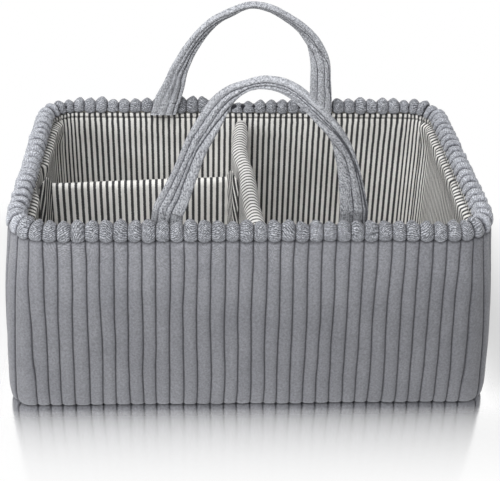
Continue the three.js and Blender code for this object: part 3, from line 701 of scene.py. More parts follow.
def rim_piece(side):
    number = SIDES[side][2]
    around = np.linspace(0, 1, 41)
    section = smooth_curve(RIM_TABLE, around)
    shares, swell, apart, ribs = rib_grid(side, seam_z + 0.09 * around)
    across, rise = section[:, 0], section[:, 1]
    width = np.where(across > 0, RIM_OUT + 0.0002, RIM_IN + 0.0001)
    rough = wall_points(side, shares, across * width, seam_z + rise * (rim_top - seam_z))
    uneven = UNEVEN[side]
    plump = 1 + uneven * per_rib(ribs, 9.1 + number, 0.08)[:, None]
    plump = plump + 0.05 * ripple(rough, 0.009, seed=8)
    plump = np.minimum(plump, 1.07)
    over = smoothstep(0.25, 0.9, rise)
    place = np.clip(shares * rib_count(side) - ribs[:, None], 0, 1)
    peak = 0.5 + uneven * per_rib(ribs, 12.7 + number, 0.16)[:, None]
    roof = np.where(place < peak, place / peak, (1 - place) / (1 - peak))
    round_back = 1 - (1 - roof) ** 1.75
    nick = RIM_NICK[side] * ((1 - round_back) * over + 0.55 * (1 - swell) * (1 - over))
    offset = across * (width * plump - nick)
    crown = np.interp(rough[..., 0], *np.array(BACK_CREST).T) if side == "back" else 0.0
    height = rise * ((rim_top - seam_z + 0.0002) * plump - nick + crown)
    at_edge = 1 - smoothstep(0.0, 0.45, rise)
    height = height + (seam_rise(apart, ribs, side) + INNER_LIFT * (across < 0)) * at_edge
    bulge = np.sin(math.pi * np.clip(rise / 0.5, 0, 1))
    height = height - RIM_SAG * swell * bulge * at_edge * np.where(across > 0, 1.0, 0.4)
    crinkle = CRINKLE * ripple(rough, 0.0032, seed=3) + FINE_CRINKLE * ripple(rough, 0.0015, seed=4)
    offset = offset + np.sign(across) * crinkle * smoothstep(0.0, 0.1, rise)
    outer = wall_points(side, shares, offset, seam_z + height + crinkle * (rise > 0.5))
    channel_offset = np.array([place[0] for place in RIM_CHANNEL])
    channel_z = seam_z + np.array([place[1] for place in RIM_CHANNEL])
    low_inner = seam_rise(apart[:, :1], ribs, side) * [1, 0, 0, 1] + [0, 0, 0, INNER_LIFT]
    inner = wall_points(side, shares[:, :1], channel_offset, channel_z + low_inner)
    # Painted shade: crest is low in the nicks and along the seam under the knuckles.
    crest = apart * smoothstep(0.005, 0.13, rise)
    bend = 0.3 + 0.7 * smoothstep(0.1, 0.65, rise) + 0.3 * ripple(rough, 0.006, seed=6)
    # On the side rims the painted shade in each nick is widened.
    if side in ("right", "left"):
        crest = apart**2 * smoothstep(0.005, 0.13, rise)
        bend = SIDE_BEND * bend
    comb = comb_lines(side, shares, ribs, around * RIM_GIRTH, seed=6.1 + number, turn=0.8, fold=1.3)
    # Painted light: the ends of the back rim, the corners of the front rim and the side rims are made paler.
    if side == "back":
        painted_light = BACK_RIM_ENDS_PAINTED_LIGHT * smoothstep(0.05, 0.14, np.abs(rough[..., 0]))
    elif side == "front":
        painted_light = 0.3 * SIDE_RIM_PAINTED_LIGHT * smoothstep(half_length - 0.03, half_length, np.abs(rough[..., 0]))
    else:
        painted_light = np.full(shares.shape, SIDE_RIM_PAINTED_LIGHT)
    values = plush_values(inner, crest, bend, comb, painted_light)
    piece = add_shell(f"{side}_rim_cloth", outer, inner, rim_plush, values)
    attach(piece, "caddy")
    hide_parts(f"{side}_rim")
    return piece


for side in SIDES:
    rim = rim_piece(side)
    print(rim.name, len(rim.data.polygons), "faces")

# %% [markdown]
# ## Lining
#
# The lining hangs inside the wall from the rim's seam to the floor. It is cut a little
# large, so it puffs out softly below the rim and shows shallow upright waves. On the two
# short sides it is gathered, and billows out right below the rim, clear of the cross
# divider's flap. A tuck is sewn along its top: a narrow band of cloth over a crease, which is
# darkened by a painted shadow. The stripes stand upright.

# %% Lining
TUCK_DEPTH = 0.0042
PUFF = {"front": 0.0012, "right": 0.0016, "back": 0.0012, "left": 0.0014}
BILLOW = 0.0044
WAVES = 0.0011
FINE_WAVES = 0.0003
TUCK_BAND = 0.0008
TUCK_CREASE = 0.0011
GATHER = {"front": 0.0008, "right": 0.0022, "back": 0.0008, "left": 0.0012}
lining_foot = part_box("front_lining")[0].z
lining_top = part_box("front_lining")[1].z + INNER_LIFT


def lining_piece(side):
    whole = side_lengths(side)[2]
    shares = np.linspace(0, 1, round(whole / 0.003))[:, None]
    top = lining_top
    heights = np.concatenate([
        np.linspace(lining_foot, top - 0.03, 22)[:-1],
        np.linspace(top - 0.03, top - 0.012, 10)[:-1],
        np.linspace(top - 0.012, top, 19),
    ])[None, :]
    rough = wall_points(side, shares, LINING_IN, heights)
    waves = WAVES * ripple(rough * [1, 1, 0.22], 0.030, seed=11)
    waves = waves + FINE_WAVES * ripple(rough, 0.011, seed=12)
    hang = smoothstep(0.0, 0.02, top - heights) * smoothstep(0.0, 0.012, heights - lining_foot)
    down = (top - heights) / 0.032
    puff = PUFF[side] * np.sin(math.pi * np.clip(down, 0, 1)) ** 0.8
    puff = puff * (1 + 0.5 * ripple(rough * [1, 1, 0.3], 0.016, seed=14))
    from_top = (top - heights) / TUCK_DEPTH
    billow = 0.0
    if side in ("right", "left"):
        depth = top - heights - TUCK_DEPTH
        shape = smoothstep(0, 0.004, depth) * (1 - smoothstep(0.006, 0.026, depth))
        y = rough[..., 1]
        free = smoothstep(0.125, 0.105, np.abs(y))
        if side == "left":
            free = free * (1 - smoothstep(-0.044, -0.032, y) * (1 - smoothstep(0.006, 0.018, y)))
        billow = BILLOW * shape * free * (1 + 0.5 * ripple(rough * [1, 1, 0.2], 0.013, seed=17))
    band = TUCK_BAND * np.sqrt(np.clip(1 - (2 * np.clip(from_top, 0, 1) - 1) ** 2, 0, 1))
    crease = TUCK_CREASE * np.exp(-(((from_top - 1.12) / 0.2) ** 2))
    offset = LINING_IN + 0.0003 - waves * hang - np.abs(waves) * 0.2 - band - puff - billow + crease
    offset = np.minimum(offset, LINING_OUT - 0.0005)
    face = wall_points(side, shares, np.broadcast_to(offset, rough.shape[:2]), heights)
    back = wall_points(side, shares, LINING_OUT, np.array([[lining_foot, top]]))
    length = (shares - 0.5) * whole
    gather = GATHER[side] * ripple(rough, 0.007, seed=16) * np.exp(-np.clip(top - heights, 0, 1) / 0.02)
    run = (np.broadcast_to(length, back.shape[:2]), length + gather)
    # Painted shadow along the crease under the tuck.
    crease_shadow = 0.9 * np.exp(-(((from_top - 1.12) / 0.14) ** 2))
    crease_shadow = crease_shadow * (0.75 + 0.6 * ripple(rough, 0.006, seed=15))
    crease_shadow_values = (np.zeros(back.shape[:2]), np.clip(np.broadcast_to(crease_shadow, face.shape[:2]), 0, 1))
    piece = add_shell(f"{side}_lining_cloth", back, face, ticking, {"run": run, "crease": crease_shadow_values})
    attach(piece, "caddy")
    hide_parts(f"{side}_lining")
    return piece


for side in SIDES:
    lining_piece(side)

# %% [markdown]
# ## Floor and base
#
# The floor is a stiff insert covered with ticking, drawn tight over its edge. Underneath, a
# plain backing cloth closes the caddy. Both are flat cloths with round edges and corners.


# %% Floor and base
def plate_piece(name, node, radius, edge_round, rounds_top, material):
    low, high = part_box(node)
    columns, rows = 130, 88
    x = np.linspace(low.x, high.x, columns)
    y = np.linspace(low.y, high.y, rows)
    grid = np.stack(np.meshgrid(x, y, indexing="ij"), axis=-1)
    inner = np.array([high.x - radius, high.y - radius])
    past = np.abs(grid) - inner
    both = np.all(past > 0, axis=-1)
    square = np.max(past, axis=-1)
    length = np.linalg.norm(past, axis=-1)
    shrink = np.where(both, square / np.maximum(length, 1e-9), 1.0)[..., None]
    grid = np.where(both[..., None], np.sign(grid) * (inner + past * shrink), grid)
    edge = np.minimum(high.x - np.abs(grid[..., 0]), high.y - np.abs(grid[..., 1]))
    rough = np.concatenate([grid, np.zeros(grid.shape[:2] + (1,))], axis=-1)
    fall = edge_round * (1 - smoothstep(0, 0.004, edge)) + 0.00012 * (1 + ripple(rough, 0.02, seed=21))
    fall = np.minimum(fall, (high.z - low.z) * 0.7)
    upper = np.full(fall.shape, high.z) - (fall if rounds_top else 0)
    lower = np.full(fall.shape, low.z) + (0 if rounds_top else fall)
    upper = np.concatenate([grid, upper[..., None]], axis=-1)
    lower = np.concatenate([grid, lower[..., None]], axis=-1)
    first = columns * rows
    faces = grid_faces(columns, rows, 0) + grid_faces(columns, rows, first, facing_out=False)
    loop = [i * rows for i in range(columns)]
    loop += [(columns - 1) * rows + j for j in range(1, rows)]
    loop += [i * rows + rows - 1 for i in range(columns - 2, -1, -1)]
    loop += [j for j in range(rows - 2, 0, -1)]
    for a, b in zip(loop, loop[1:] + loop[:1]):
        faces.append([b, a, first + a, first + b])
    points = np.concatenate([upper.reshape(-1, 3), lower.reshape(-1, 3)])
    piece = add_mesh(name, points, faces, material, {"run": points[:, 0]})
    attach(piece, "caddy")
    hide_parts(node)
    return piece


floor_cloth = plate_piece(
    "floor_cloth", "base_lining", CORNER_RADIUS + LINING_IN - FIT_GAP, 0.0008, True, ticking,
)
base_piece = plate_piece(
    "base_backing_cloth", "base_cover", FOOT_CORNER_RADIUS + 0.008, 0.0016, False, base_cloth,
)

# %% [markdown]
# ## Handles
#
# Each handle is a padded strap of the same plush with its ribs lengthwise. It leaves the rim
# flat, then narrows and rolls on its way up, so that at the crest its edge faces forward and
# the ribs crowd into long pleats. A pleat is a thin valley between two plump bands, darkened
# by painted shade. Some bands lie a step behind their neighbour, as where the front strap
# folds over itself on its right leg. Along its length the strap is painted paler or darker, as
# painted light and painted shade. The sewn ends and the arch are one mesh here, which bends
# where the strap comes free of the rim.

# %% Handles
HANDLE_SPREAD = 0.146
HINGE_LIFT = 0.0032
STRAP_WIDTH = 0.028
STRAP_THICKNESS = 0.0080
STRAP_LENGTH = 0.26
STRAP_POINTS = 120
TAIL_STEPS = 12
TAIL_LIFT = 0.003
THICKNESS_TABLE = [(0, 0.625), (0.45, 0.85), (1, 1)]

# Tables of (share of the length, value): the width as a share of the full width, the roll in
# degrees, and the painted light along the strap, with painted shade below 0
FRONT_WIDTHS = [
    (0, 0.88), (0.05, 0.82), (0.1, 0.74), (0.15, 0.69), (0.3, 0.67), (0.35, 0.6), (0.4, 0.46),
    (0.45, 0.36), (0.5, 0.48), (0.56, 0.55), (0.66, 0.56), (0.72, 0.54), (0.77, 0.51), (0.82, 0.56),
    (0.88, 0.63), (0.95, 0.72), (1, 0.78),
]
BACK_WIDTHS = [
    (0, 0.86), (0.07, 0.72), (0.16, 0.56), (0.28, 0.5), (0.42, 0.46), (0.55, 0.46), (0.68, 0.5),
    (0.76, 0.56), (0.84, 0.66), (0.92, 0.7), (1, 0.76),
]
FRONT_ROLL = [
    (0, 0), (0.3, 0), (0.38, 15), (0.45, 38), (0.52, 45), (0.65, 45), (0.74, 36), (0.82, 12), (1, 0),
]
BACK_ROLL = [(0, 0), (0.15, 10), (0.3, 35), (0.5, 60), (0.7, 45), (0.85, 10), (1, 0)]
FRONT_STRAP_PAINTED_LIGHT = [(0, -0.12), (0.3, 0.0), (0.45, 0.32), (0.6, 0.26), (0.72, -0.05), (0.8, -0.28), (1, -0.32)]
BACK_STRAP_PAINTED_LIGHT = [(0, 0.36), (0.3, 0.34), (0.5, 0.3), (0.7, 0.36), (1, 0.42)]

# Each pleat's depth, which also sets the darkness and width of its line of painted shade, the
# step behind it in metres, and its course as (share of the length, place across the strap from
# -1 at the outer edge to 1 at the inner edge)
WRINKLE = 0.0006
FINE_WRINKLE = 0.0003
SWAY = 0.0008
PLEAT_LINE = 0.0009
PLEAT_VALLEY = 0.0026
FRONT_PLEATS = [
    (1.1, 0.0, [
        (0, -0.6), (0.2, -0.5), (0.42, -0.3), (0.5, -0.35), (0.75, -0.45), (0.85, -0.8), (1, -0.9),
    ]),
    (1.3, 0.0, [
        (0, -0.15), (0.15, -0.1), (0.25, 0.05), (0.35, 0.3), (0.41, 0.5), (0.46, 0.1), (0.54, 0.0),
        (0.66, -0.1), (0.76, -0.3), (0.83, -0.6), (1, -0.65),
    ]),
    (1.4, 0.0006, [
        (0, 0.2), (0.15, 0.15), (0.2, 0.2), (0.25, 0.4), (0.3, 0.55), (0.36, 0.8), (0.42, 1.3),
        (1, 1.3),
    ]),
    (1.7, 0.0012, [
        (0, 1.4), (0.42, 1.3), (0.48, 0.8), (0.55, 0.6), (0.62, 0.35), (0.69, 0.2), (0.745, 0.0),
        (0.8, -0.3), (0.84, -0.55), (0.9, -0.8), (1, -0.9),
    ]),
    (1.5, 0.0016, [
        (0, 1.4), (0.72, 1.3), (0.76, 1.0), (0.8, 0.55), (0.83, 0.1), (0.9, 0.0), (1, 0.05),
    ]),
]
BACK_PLEATS = [
    (1.4, 0.0008, [
        (0, 0.7), (0.05, 0.65), (0.1, 0.5), (0.15, 0.55), (0.2, 0.4), (0.3, 0.45), (0.42, 0.7),
        (0.5, 0.3), (0.6, 0.5), (0.66, 0.45), (0.7, 0.3), (0.76, 0.0), (0.8, -0.5), (0.86, -0.85),
        (1, -0.9),
    ]),
    (1.1, 0.0, [
        (0, 0.15), (0.1, 0.0), (0.15, 0.1), (0.3, -0.05), (0.42, 0.2), (0.5, -0.25), (0.65, -0.1),
        (0.72, -0.3), (0.85, -0.4), (1, -0.4),
    ]),
    (0.6, 0.0, [(0, -0.45), (0.15, -0.4), (0.35, -0.55), (0.6, -0.6), (0.75, -0.7), (1, -0.75)]),
    (1.4, 0.0014, [(0, 1.4), (0.74, 1.3), (0.77, 0.9), (0.8, 0.5), (0.85, 0.35), (0.9, 0.3), (1, 0.3)]),
]
FRONT_LINE = [
    (-1, 0), (-0.925, 0.11), (-0.851, 0.243), (-0.788, 0.356), (-0.711, 0.485), (-0.634, 0.597),
    (-0.543, 0.723), (-0.445, 0.835), (-0.297, 0.94), (-0.137, 0.985), (0.031, 1), (0.2, 0.98),
    (0.355, 0.92), (0.495, 0.835), (0.63, 0.735), (0.75, 0.635), (0.842, 0.517), (0.906, 0.384),
    (0.945, 0.262), (0.978, 0.121), (1, 0),
]
BACK_LINE = [
    (-1, 0), (-0.94, 0.12), (-0.88, 0.25), (-0.81, 0.39), (-0.7, 0.55), (-0.57, 0.7), (-0.4, 0.83),
    (-0.18, 0.93), (0.06, 1), (0.32, 0.96), (0.55, 0.86), (0.74, 0.745), (0.87, 0.61), (0.95, 0.45),
    (0.98, 0.25), (1, 0),
]


def strap_path(line_table, height, tail, spread):
    """The strap's middle line with its two sewn ends: points, directions and shares."""
    line = np.array(line_table) * [HANDLE_SPREAD / 2, height]
    chord = np.concatenate([[0], np.cumsum(np.linalg.norm(np.diff(line, axis=0), axis=1))])
    along = np.linspace(0, chord[-1], 150)
    path = smooth_curve(np.column_stack([chord, line]), along)
    tangent = np.gradient(path, along, axis=0)
    tangent /= np.linalg.norm(tangent, axis=1)[:, None]
    drop = np.linspace(tail, 0, TAIL_STEPS, endpoint=False)
    left = np.column_stack([line[0, 0] - spread * drop, -drop])
    right = np.column_stack([np.full(TAIL_STEPS, line[-1, 0]), -drop[::-1]])
    up, down = np.tile([0, 1], (TAIL_STEPS, 1)), np.tile([0, -1], (TAIL_STEPS, 1))
    share = np.concatenate([np.zeros(TAIL_STEPS), along / chord[-1], np.ones(TAIL_STEPS)])
    return np.concatenate([left, path, right]), np.concatenate([up, tangent, down]), share


def handle_piece(hand, facing, height, lean, spread, line_table, widths, rolls, pleats, painted_lights):
    low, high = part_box(f"{hand}_handle_left_end")
    right_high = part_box(f"{hand}_handle_right_end")[1]
    hinge = np.array([(low.x + right_high.x) / 2, (low.y + high.y) / 2, hinge_z])
    path, tangent, share = strap_path(line_table, height, hinge_z - low.z - TAIL_LIFT, spread)
    arch = np.sin(math.pi * share)
    roll = np.radians(np.interp(share, *np.array(rolls).T))
    width = STRAP_WIDTH * smooth_curve(widths, share)[:, 0]
    thickness = STRAP_THICKNESS * smooth_curve(THICKNESS_TABLE, arch)[:, 0]
    forward = np.zeros((len(path), 3)) + [0, 1, 0]
    along = np.column_stack([tangent[:, 0], np.zeros(len(path)), tangent[:, 1]])
    side = np.cross(forward, along)
    widthways = side * np.cos(roll)[:, None] + forward * np.sin(roll)[:, None]
    through = forward * np.cos(roll)[:, None] - side * np.sin(roll)[:, None]

    middle = np.column_stack([path[:, 0], np.zeros(len(path)), path[:, 1]])
    turn = np.linspace(0, 2 * math.pi, STRAP_POINTS, endpoint=False)
    across = -np.sign(np.cos(turn)) * np.abs(np.cos(turn)) ** 0.85
    depth = np.sign(np.sin(turn)) * np.abs(np.sin(turn)) ** 0.6
    groove, valley, band, step = (np.zeros((len(path), STRAP_POINTS)) for _ in range(4))
    for number, (deep, drop, course) in enumerate(pleats):
        place = np.interp(share, *np.array(course).T) + 0.1 * ripple(middle, 0.03, seed=41 + number)
        past = across[None] - place[:, None]
        beside = past * width[:, None] / 2
        groove = np.maximum(groove, deep * np.exp(-((beside / PLEAT_LINE) ** 2)))
        valley = np.maximum(valley, deep * np.exp(-((beside / PLEAT_VALLEY) ** 2)))
        band = band + (past > 0) * (number + 1)
        step = step + drop * smoothstep(-0.08, 0.08, past)
    at_edge = np.abs(across[None]) > 0.95

    rings = middle[:, None] + widthways[:, None] * (across[None] * width[:, None] / 2)[..., None]
    rough = rings + through[:, None] * (depth[None] * thickness[:, None] / 2)[..., None]
    pleat = 1 - 0.3 * np.minimum(valley, 1) - 0.2 * np.minimum(groove, 1)
    wrinkle = WRINKLE * ripple(rough * [0.45, 1, 0.45], 0.0065, seed=31 + facing)
    wrinkle = wrinkle + FINE_WRINKLE * ripple(rough, 0.0026, seed=35 + facing)
    out = depth[None] * (pleat * thickness[:, None] / 2 + wrinkle) + step
    rings = rings + through[:, None] * out[..., None]
    sway = SWAY * ripple(middle * [1, 0, 1], 0.020, seed=38 + facing) * smoothstep(0, 0.3, arch)
    rings = rings + (widthways * sway[:, None])[:, None]
    free = np.repeat(path[:, 1] > 0, STRAP_POINTS)
    flat = rings.reshape(-1, 3)
    leaned = flat @ np.array(Matrix.Rotation(facing * lean, 3, "X")).T
    rings = (np.where(free[:, None], leaned, flat) + hinge).reshape(rings.shape)

    # Painted shade: the pleat lines are dark and the strap's edges a little darker.
    crest = np.where(at_edge, 0.8, np.clip(1 - 1.0 * groove, 0.02, 1))
    bend = np.clip(0.45 + 0.3 * np.sin(band * 2.2) + 0.4 * ripple(rough, 0.008, seed=33), 0, 1)
    brushed_and_lit = 0.0035 * ripple(rough, 0.012, seed=36)
    comb = 0.8 * across[None] * width[:, None] / 2 + 0.3 * share[:, None] * STRAP_LENGTH + brushed_and_lit
    # Painted light and painted shade along the strap: paler above 0, darker below 0.
    painted_light = np.interp(share, *np.array(painted_lights).T)[:, None] + np.zeros(crest.shape)
    values = {"crest": crest, "bend": bend, "comb": comb, "painted_light": painted_light}
    piece = add_tube(f"{hand}_handle_strap_cloth", rings, strap_plush, values)
    below, above = hinge - [0, 0, 0.004], hinge + [0, 0, 0.006]
    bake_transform(piece, "caddy", f"{hand}_handle_strap", start=tuple(below), end=tuple(above))
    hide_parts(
        f"{hand}_handle", f"{hand}_handle_webbing", f"{hand}_handle_left_end",
        f"{hand}_handle_right_end",
    )
    return piece


RIM_HEIGHT = 0.170
hinge_z = RIM_HEIGHT + HINGE_LIFT
handle_piece(
    "front", -1, height=0.099, lean=math.radians(20), spread=0.12, line_table=FRONT_LINE,
    widths=FRONT_WIDTHS, rolls=FRONT_ROLL, pleats=FRONT_PLEATS, painted_lights=FRONT_STRAP_PAINTED_LIGHT,
)
handle_piece(
    "back", 1, height=0.0938, lean=0.0, spread=0.3, line_table=BACK_LINE, widths=BACK_WIDTHS,
    rolls=BACK_ROLL, pleats=BACK_PLEATS, painted_lights=BACK_STRAP_PAINTED_LIGHT,
)

# %% [markdown]
# ## Dividers
#
# The dividers are panels of ticking over foam or board, with a round top, sewn shut at their
# two ends. Such a panel is full in the middle and thin at its seams, so each one starts
# a little too slim and is blown up by cloth simulation while its ends and foot are held. Only
# outward moves are kept, so that its filling never shows. The stripes run over the top from
# one face to the other. The thick centre divider bows to the left in its back half, and its
# ends stand against the front and the back lining. The cross divider runs askew, with its
# right end further back.

# %% Dividers
DIVIDER_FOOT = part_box("centre_divider_cover")[0].z
CENTRE_BOW = 0.007
CENTRE_TABLE = [
    (-1, 0.8), (-0.64, 0.47), (-0.35, 0.2), (0.165, -0.16), (0.35, -0.56), (0.45, -0.7), (0.68, -0.56),
    (1, -0.24),
]
CROSS_HALF = 0.0035
HELD = 0.004
held_foot = DIVIDER_FOOT + HELD
PRESSURE = 4.0
SIMULATED_FRAMES = 20
PANEL_WAVES = 0.0005
FINE_PANEL_WAVES = 0.0002


def panel_section(half, top, count=15):
    """A round-topped section as (sideways, height) rows, up one face and down the other."""
    turn = np.linspace(0, math.pi, count)
    crown = np.column_stack([half * np.cos(turn), top - half + half * np.sin(turn)])
    rise = np.linspace(DIVIDER_FOOT, top - half, 30)[:-1]
    up = np.column_stack([np.full(len(rise), half), rise])
    return np.concatenate([up, crown, up[::-1] * [-1, 1]])


def blow_up(piece, held, cap, voxel):
    """Remeshes a panel and blows it up by cloth pressure. Points move outward only, by up to cap."""
    bpy.context.view_layer.objects.active = piece
    remesh = piece.modifiers.new("even mesh", "REMESH")
    remesh.mode = "VOXEL"
    remesh.voxel_size = voxel
    bpy.ops.object.modifier_apply(modifier=remesh.name)
    count = len(piece.data.vertices)
    start = np.empty(count * 3)
    piece.data.vertices.foreach_get("co", start)
    start = start.reshape(-1, 3)
    pins = piece.vertex_groups.new(name="held")
    pins.add([int(i) for i in np.nonzero(held(start))[0]], 1.0, "REPLACE")
    cloth = piece.modifiers.new("cloth", "CLOTH")
    cloth.settings.vertex_group_mass = pins.name
    cloth.settings.use_pressure = True
    cloth.settings.uniform_pressure_force = PRESSURE
    cloth.settings.effector_weights.gravity = 0
    cloth.settings.shrink_min = -0.02
    scene = bpy.context.scene
    for number in range(1, SIMULATED_FRAMES + 1):
        scene.frame_set(number)
    shown = piece.evaluated_get(bpy.context.evaluated_depsgraph_get())
    moved = np.empty(count * 3)
    shown.data.vertices.foreach_get("co", moved)
    normals = np.empty(count * 3)
    piece.data.vertices.foreach_get("normal", normals)
    normals = normals.reshape(-1, 3)
    outward = np.sum((moved.reshape(-1, 3) - start) * normals, axis=1)
    step = normals * np.clip(outward, 0, cap)[:, None]
    piece.modifiers.remove(cloth)
    scene.frame_set(1)
    piece.data.vertices.foreach_set("co", (start + step).ravel())
    subdivide = piece.modifiers.new("smooth cloth", "SUBSURF")
    subdivide.levels = 1
    bpy.ops.object.modifier_apply(modifier=subdivide.name)
    piece.data.shade_smooth()
    furthest = float(np.max(np.linalg.norm(step, axis=1)))
    print(piece.name, "moved by up to", round(furthest * 1000, 1), "mm")


def finish_panel(piece, node, axis, held, cap, voxel):
    blow_up(piece, held, cap, voxel)
    points = np.empty(len(piece.data.vertices) * 3)
    piece.data.vertices.foreach_get("co", points)
    points = points.reshape(-1, 3)
    if "run" in piece.data.attributes:
        piece.data.attributes.remove(piece.data.attributes["run"])
    run = piece.data.attributes.new("run", "FLOAT", "POINT")
    run.data.foreach_set("value", points[:, axis].astype(np.float32))
    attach(piece, body_of(frame["nodes"][node])[0])
    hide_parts(node)


def panel(name, half, top, runs, place, material, seed):
    section = panel_section(half, top)
    rings = np.array([[place(run, sideways, z) for sideways, z in section] for run in runs])
    soft = PANEL_WAVES * ripple(rings * [1, 1, 0.5], 0.028, seed=seed)
    soft = soft + FINE_PANEL_WAVES * ripple(rings, 0.008, seed=seed + 1)
    normal = np.cross(np.gradient(rings, axis=0), np.gradient(rings, axis=1))
    normal /= np.maximum(np.linalg.norm(normal, axis=-1), 1e-9)[..., None]
    return add_tube(name, rings + normal * soft[..., None], material)


centre_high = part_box("centre_divider_cover")[1]
centre_end = centre_high.y
CENTRE_HALF = 0.0065


def centre_line(y):
    return CENTRE_BOW * smooth_curve(CENTRE_TABLE, np.array([y / centre_end]))[0, 0]


centre = panel(
    "centre_divider_cloth", CENTRE_HALF - 0.0005, centre_high.z - 0.0003,
    np.linspace(-centre_end - 0.0005, centre_end + 0.0005, 110), lambda y, sideways,
    z: (centre_line(y) + sideways, y, z), divider_ticking, seed=41,
)
finish_panel(
    centre, "centre_divider_cover", axis=1, cap=0.0014, voxel=0.003,
    held=lambda p: (np.abs(p[:, 1]) > centre_end - 0.005) | (p[:, 2] < held_foot),
)

cross_low, cross_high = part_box("cross_divider_cover")


def cross_line(x):
    share = (x - cross_low.x) / (cross_high.x - cross_low.x)
    return (cross_low.y + CROSS_HALF) * (1 - share) + (cross_high.y - CROSS_HALF) * share


cross = panel(
    "cross_divider_cloth", CROSS_HALF - 0.0002, cross_high.z - 0.0002,
    np.linspace(cross_low.x - 0.0003, cross_high.x + 0.0002, 80), lambda x, sideways,
    z: (x, cross_line(x) - sideways, z), ticking, seed=51,
)
finish_panel(
    cross, "cross_divider_cover", axis=0, cap=0.0008, voxel=0.0025,
    held=lambda p: (
        (p[:, 0] < cross_low.x + HELD) | (p[:, 0] > cross_high.x - 0.005) | (p[:, 2] < held_foot)
    ),
)

# %% [markdown]
# ## Flaps
#
# The cross divider ends in two flaps, which lie on the lining and on the centre divider over the
# hook tape. Each is a doubled hem of ticking with a round top. It comes off the cross divider's
# face in a bow, with its peak near the middle of its top, and its front edge is free and curls
# in over the end of the tape. Its stripes lean a little, as the cloth was cut askew.

# %% Flaps
FLAP_THICKNESS = 0.0012
FLAP_CURL = 0.0024
FLAP_BOW = 0.0055
FLAP_LEAN = 0.35
FLAP_SHORT = 0.003
FLAP_CREST = [(0, -0.002), (0.3, 0.0022), (0.5, 0.0036), (0.75, -0.0005), (1, -0.0085)]


def flap_piece(side, inward):
    node = f"cross_divider_{side}_flap"
    low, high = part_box(node)
    rows, columns = 36, 44
    across = np.linspace(0, 1, rows)[:, None]
    up = np.linspace(0, 1, columns)[None, :]
    y = high.y - (high.y - low.y - FLAP_SHORT) * (1 - across)
    top = high.z + smooth_curve(FLAP_CREST, across)[..., 0]
    corner = 0.003 * (1 - np.sqrt(1 - (2 * np.abs(across - 0.5)) ** 6))
    z = low.z + (top - corner - low.z) * up
    y, z = np.broadcast_arrays(y, z)
    edge = np.minimum(np.minimum(across, 1 - across) / 0.12, np.minimum(1 - up, 1) / 0.05)
    half = FLAP_THICKNESS / 2 * (0.35 + 0.65 * np.sqrt(np.clip(edge, 0, 1)))
    near_x, far_x = (low.x, high.x) if inward > 0 else (high.x, low.x)
    back_x = near_x + inward * FLAP_THICKNESS / 2
    front_x = far_x - inward * FLAP_THICKNESS / 2
    x = front_x * (1 - across) + back_x * across + inward * FLAP_CURL * (1 - smoothstep(0, 0.34, across))
    x = x - inward * FLAP_BOW * across**1.2 * (0.5 + 0.5 * up)
    rough = np.stack([x, y, z], axis=-1)
    x = x + 0.00025 * ripple(rough, 0.018, seed=61)
    outer = np.stack([x + half, y, z], axis=-1)
    inner = np.stack([x - half, y, z], axis=-1)
    run = y + FLAP_LEAN * (high.z - z)
    piece = add_shell(f"{side}_flap_cloth", outer, inner, flap_ticking, {"run": (run, run)})
    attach(piece, "cross_divider")
    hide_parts(node)
    return piece


flap_piece("right", inward=1)
flap_piece("left", inward=-1)

# %% [markdown]
# ## Pieces that keep their shape
#
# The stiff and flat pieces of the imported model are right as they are, and take a material.

# %% Pieces that keep their shape
FINISHES = {
    wadding: ["front_padding", "right_padding", "back_padding", "left_padding", "centre_divider_foam"],
    board: [
        "front_board", "right_board", "back_board", "left_board", "base_board", "cross_divider_board",
    ],
    hook_tape: [name for name in frame["nodes"] if name.endswith("_tape")],
}
for material, names in FINISHES.items():
    for name in names:
        node = frame["nodes"][name]
        node.data.materials.clear()
        node.data.materials.append(material)

# %% [markdown]
# ## Studio
#
# A white room: a large pale floor with a polish that mirrors the caddy softly and ever more
# dimly away from it, a broad lamp above and to the left, and a bright surround that fills
# the shadows.

# %% Studio
scene = bpy.context.scene
scene.view_settings.view_transform = "Standard"
FLOOR_SPAN = 6.0
MIRROR_STRENGTH = 1.0
MIRROR_FADE = 0.031
FOOT_MARGIN = 0.017


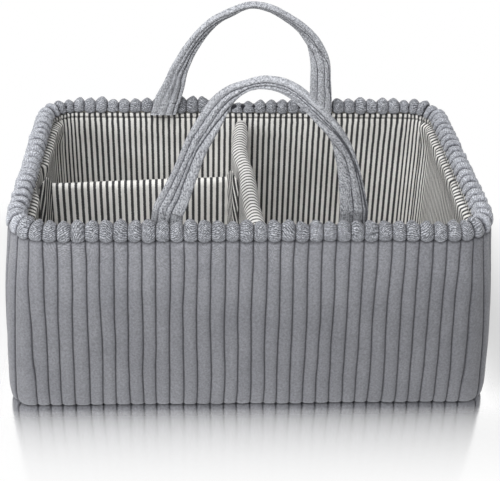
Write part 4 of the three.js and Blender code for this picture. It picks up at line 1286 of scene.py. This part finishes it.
def floor_material():
    material, tree, shader, place = new_material("polished pale floor", specular=0.0, roughness=0.9)
    shader.inputs["Base Color"].default_value = linear("#f2f2f2")
    around = add_node(tree, "VectorMath", {"operation": "ABSOLUTE"}, links={0: place})
    past = add_node(
        tree, "VectorMath", {"operation": "SUBTRACT"},
        values={1: (half_length + FOOT_MARGIN, half_depth + FOOT_MARGIN, 0)}, links={0: around},
    )
    outside = add_node(
        tree, "VectorMath", {"operation": "MAXIMUM"}, values={1: (0, 0, 0)}, links={0: past},
    )
    distance = add_node(tree, "VectorMath", {"operation": "LENGTH"}, links={0: outside})
    fall = add_node(tree, "Math", {"operation": "DIVIDE"}, values={1: -MIRROR_FADE}, links={0: distance})
    left_over = add_node(tree, "Math", {"operation": "EXPONENT"}, links={0: fall})
    mirror = add_node(
        tree, "Math", {"operation": "MULTIPLY"}, values={1: MIRROR_STRENGTH}, links={0: left_over},
    )
    path = add_node(tree, "LightPath")
    seen = add_node(
        tree, "Math", {"operation": "MAXIMUM"},
        links={0: path.outputs["Is Camera Ray"], 1: path.outputs["Is Glossy Ray"]},
    )
    away = add_node(
        tree, "MapRange", {"interpolation_type": "SMOOTHSTEP"},
        values={"From Min": 0.01, "From Max": 0.11}, links={"Value": distance},
    )
    white_share = add_node(tree, "Math", {"operation": "MULTIPLY"}, links={0: seen, 1: away})
    white = add_node(tree, "Emission", values={"Strength": 1.0, "Color": (1, 1, 1, 1)})
    base = add_node(tree, "MixShader", links={0: white_share, 1: shader, 2: white})
    gloss = add_node(tree, "BsdfGlossy", values={"Roughness": 0.12, "Color": (1, 1, 1, 1)})
    shown = add_node(tree, "MixShader", links={0: mirror, 1: base, 2: gloss})
    join(shown, tree.nodes["Material Output"].inputs["Surface"])
    return material


floor_mesh = bpy.data.meshes.new("studio_floor")
floor_corners = [(FLOOR_SPAN * x, FLOOR_SPAN * y, 0) for x, y in ((-1, -1), (1, -1), (1, 1), (-1, 1))]
floor_mesh.from_pydata(floor_corners, [], [(0, 1, 2, 3)])
floor_mesh.materials.append(floor_material())
floor = bpy.data.objects.new("studio_floor", floor_mesh)
floor.location.z = -0.0002
scene.collection.objects.link(floor)


MIDDLE = (0, 0, 0.1)


def add_lamp(name, place, target, size, power):
    data = bpy.data.lights.new(name, "AREA")
    data.shape = "DISK"
    data.size = size
    data.energy = power
    lamp = bpy.data.objects.new(name, data)
    lamp.location = place
    lamp.rotation_euler = (Vector(target) - Vector(place)).to_track_quat("-Z", "Y").to_euler()
    scene.collection.objects.link(lamp)
    return lamp


add_lamp("top lamp", (-0.4, -0.85, 1.8), MIDDLE, size=1.6, power=30)
add_lamp("left lamp", (-0.95, -1.05, 0.7), MIDDLE, size=0.5, power=6.5)

ROOM_LIGHT = 0.3
world = bpy.data.worlds.new("white room")
world.use_nodes = True
scene.world = world
tree = world.node_tree
surround = tree.nodes["Background"]
path = add_node(tree, "LightPath")
seen = add_node(
    tree, "Math", {"operation": "MAXIMUM"},
    links={0: path.outputs["Is Camera Ray"], 1: path.outputs["Is Glossy Ray"]},
)
level = add_node(tree, "Mix", BLEND_VALUES, values={"A": ROOM_LIGHT, "B": 1.0}, links={"Factor": seen})
join(level, surround.inputs["Strength"])
surround.inputs["Color"].default_value = (1, 1, 1, 1)
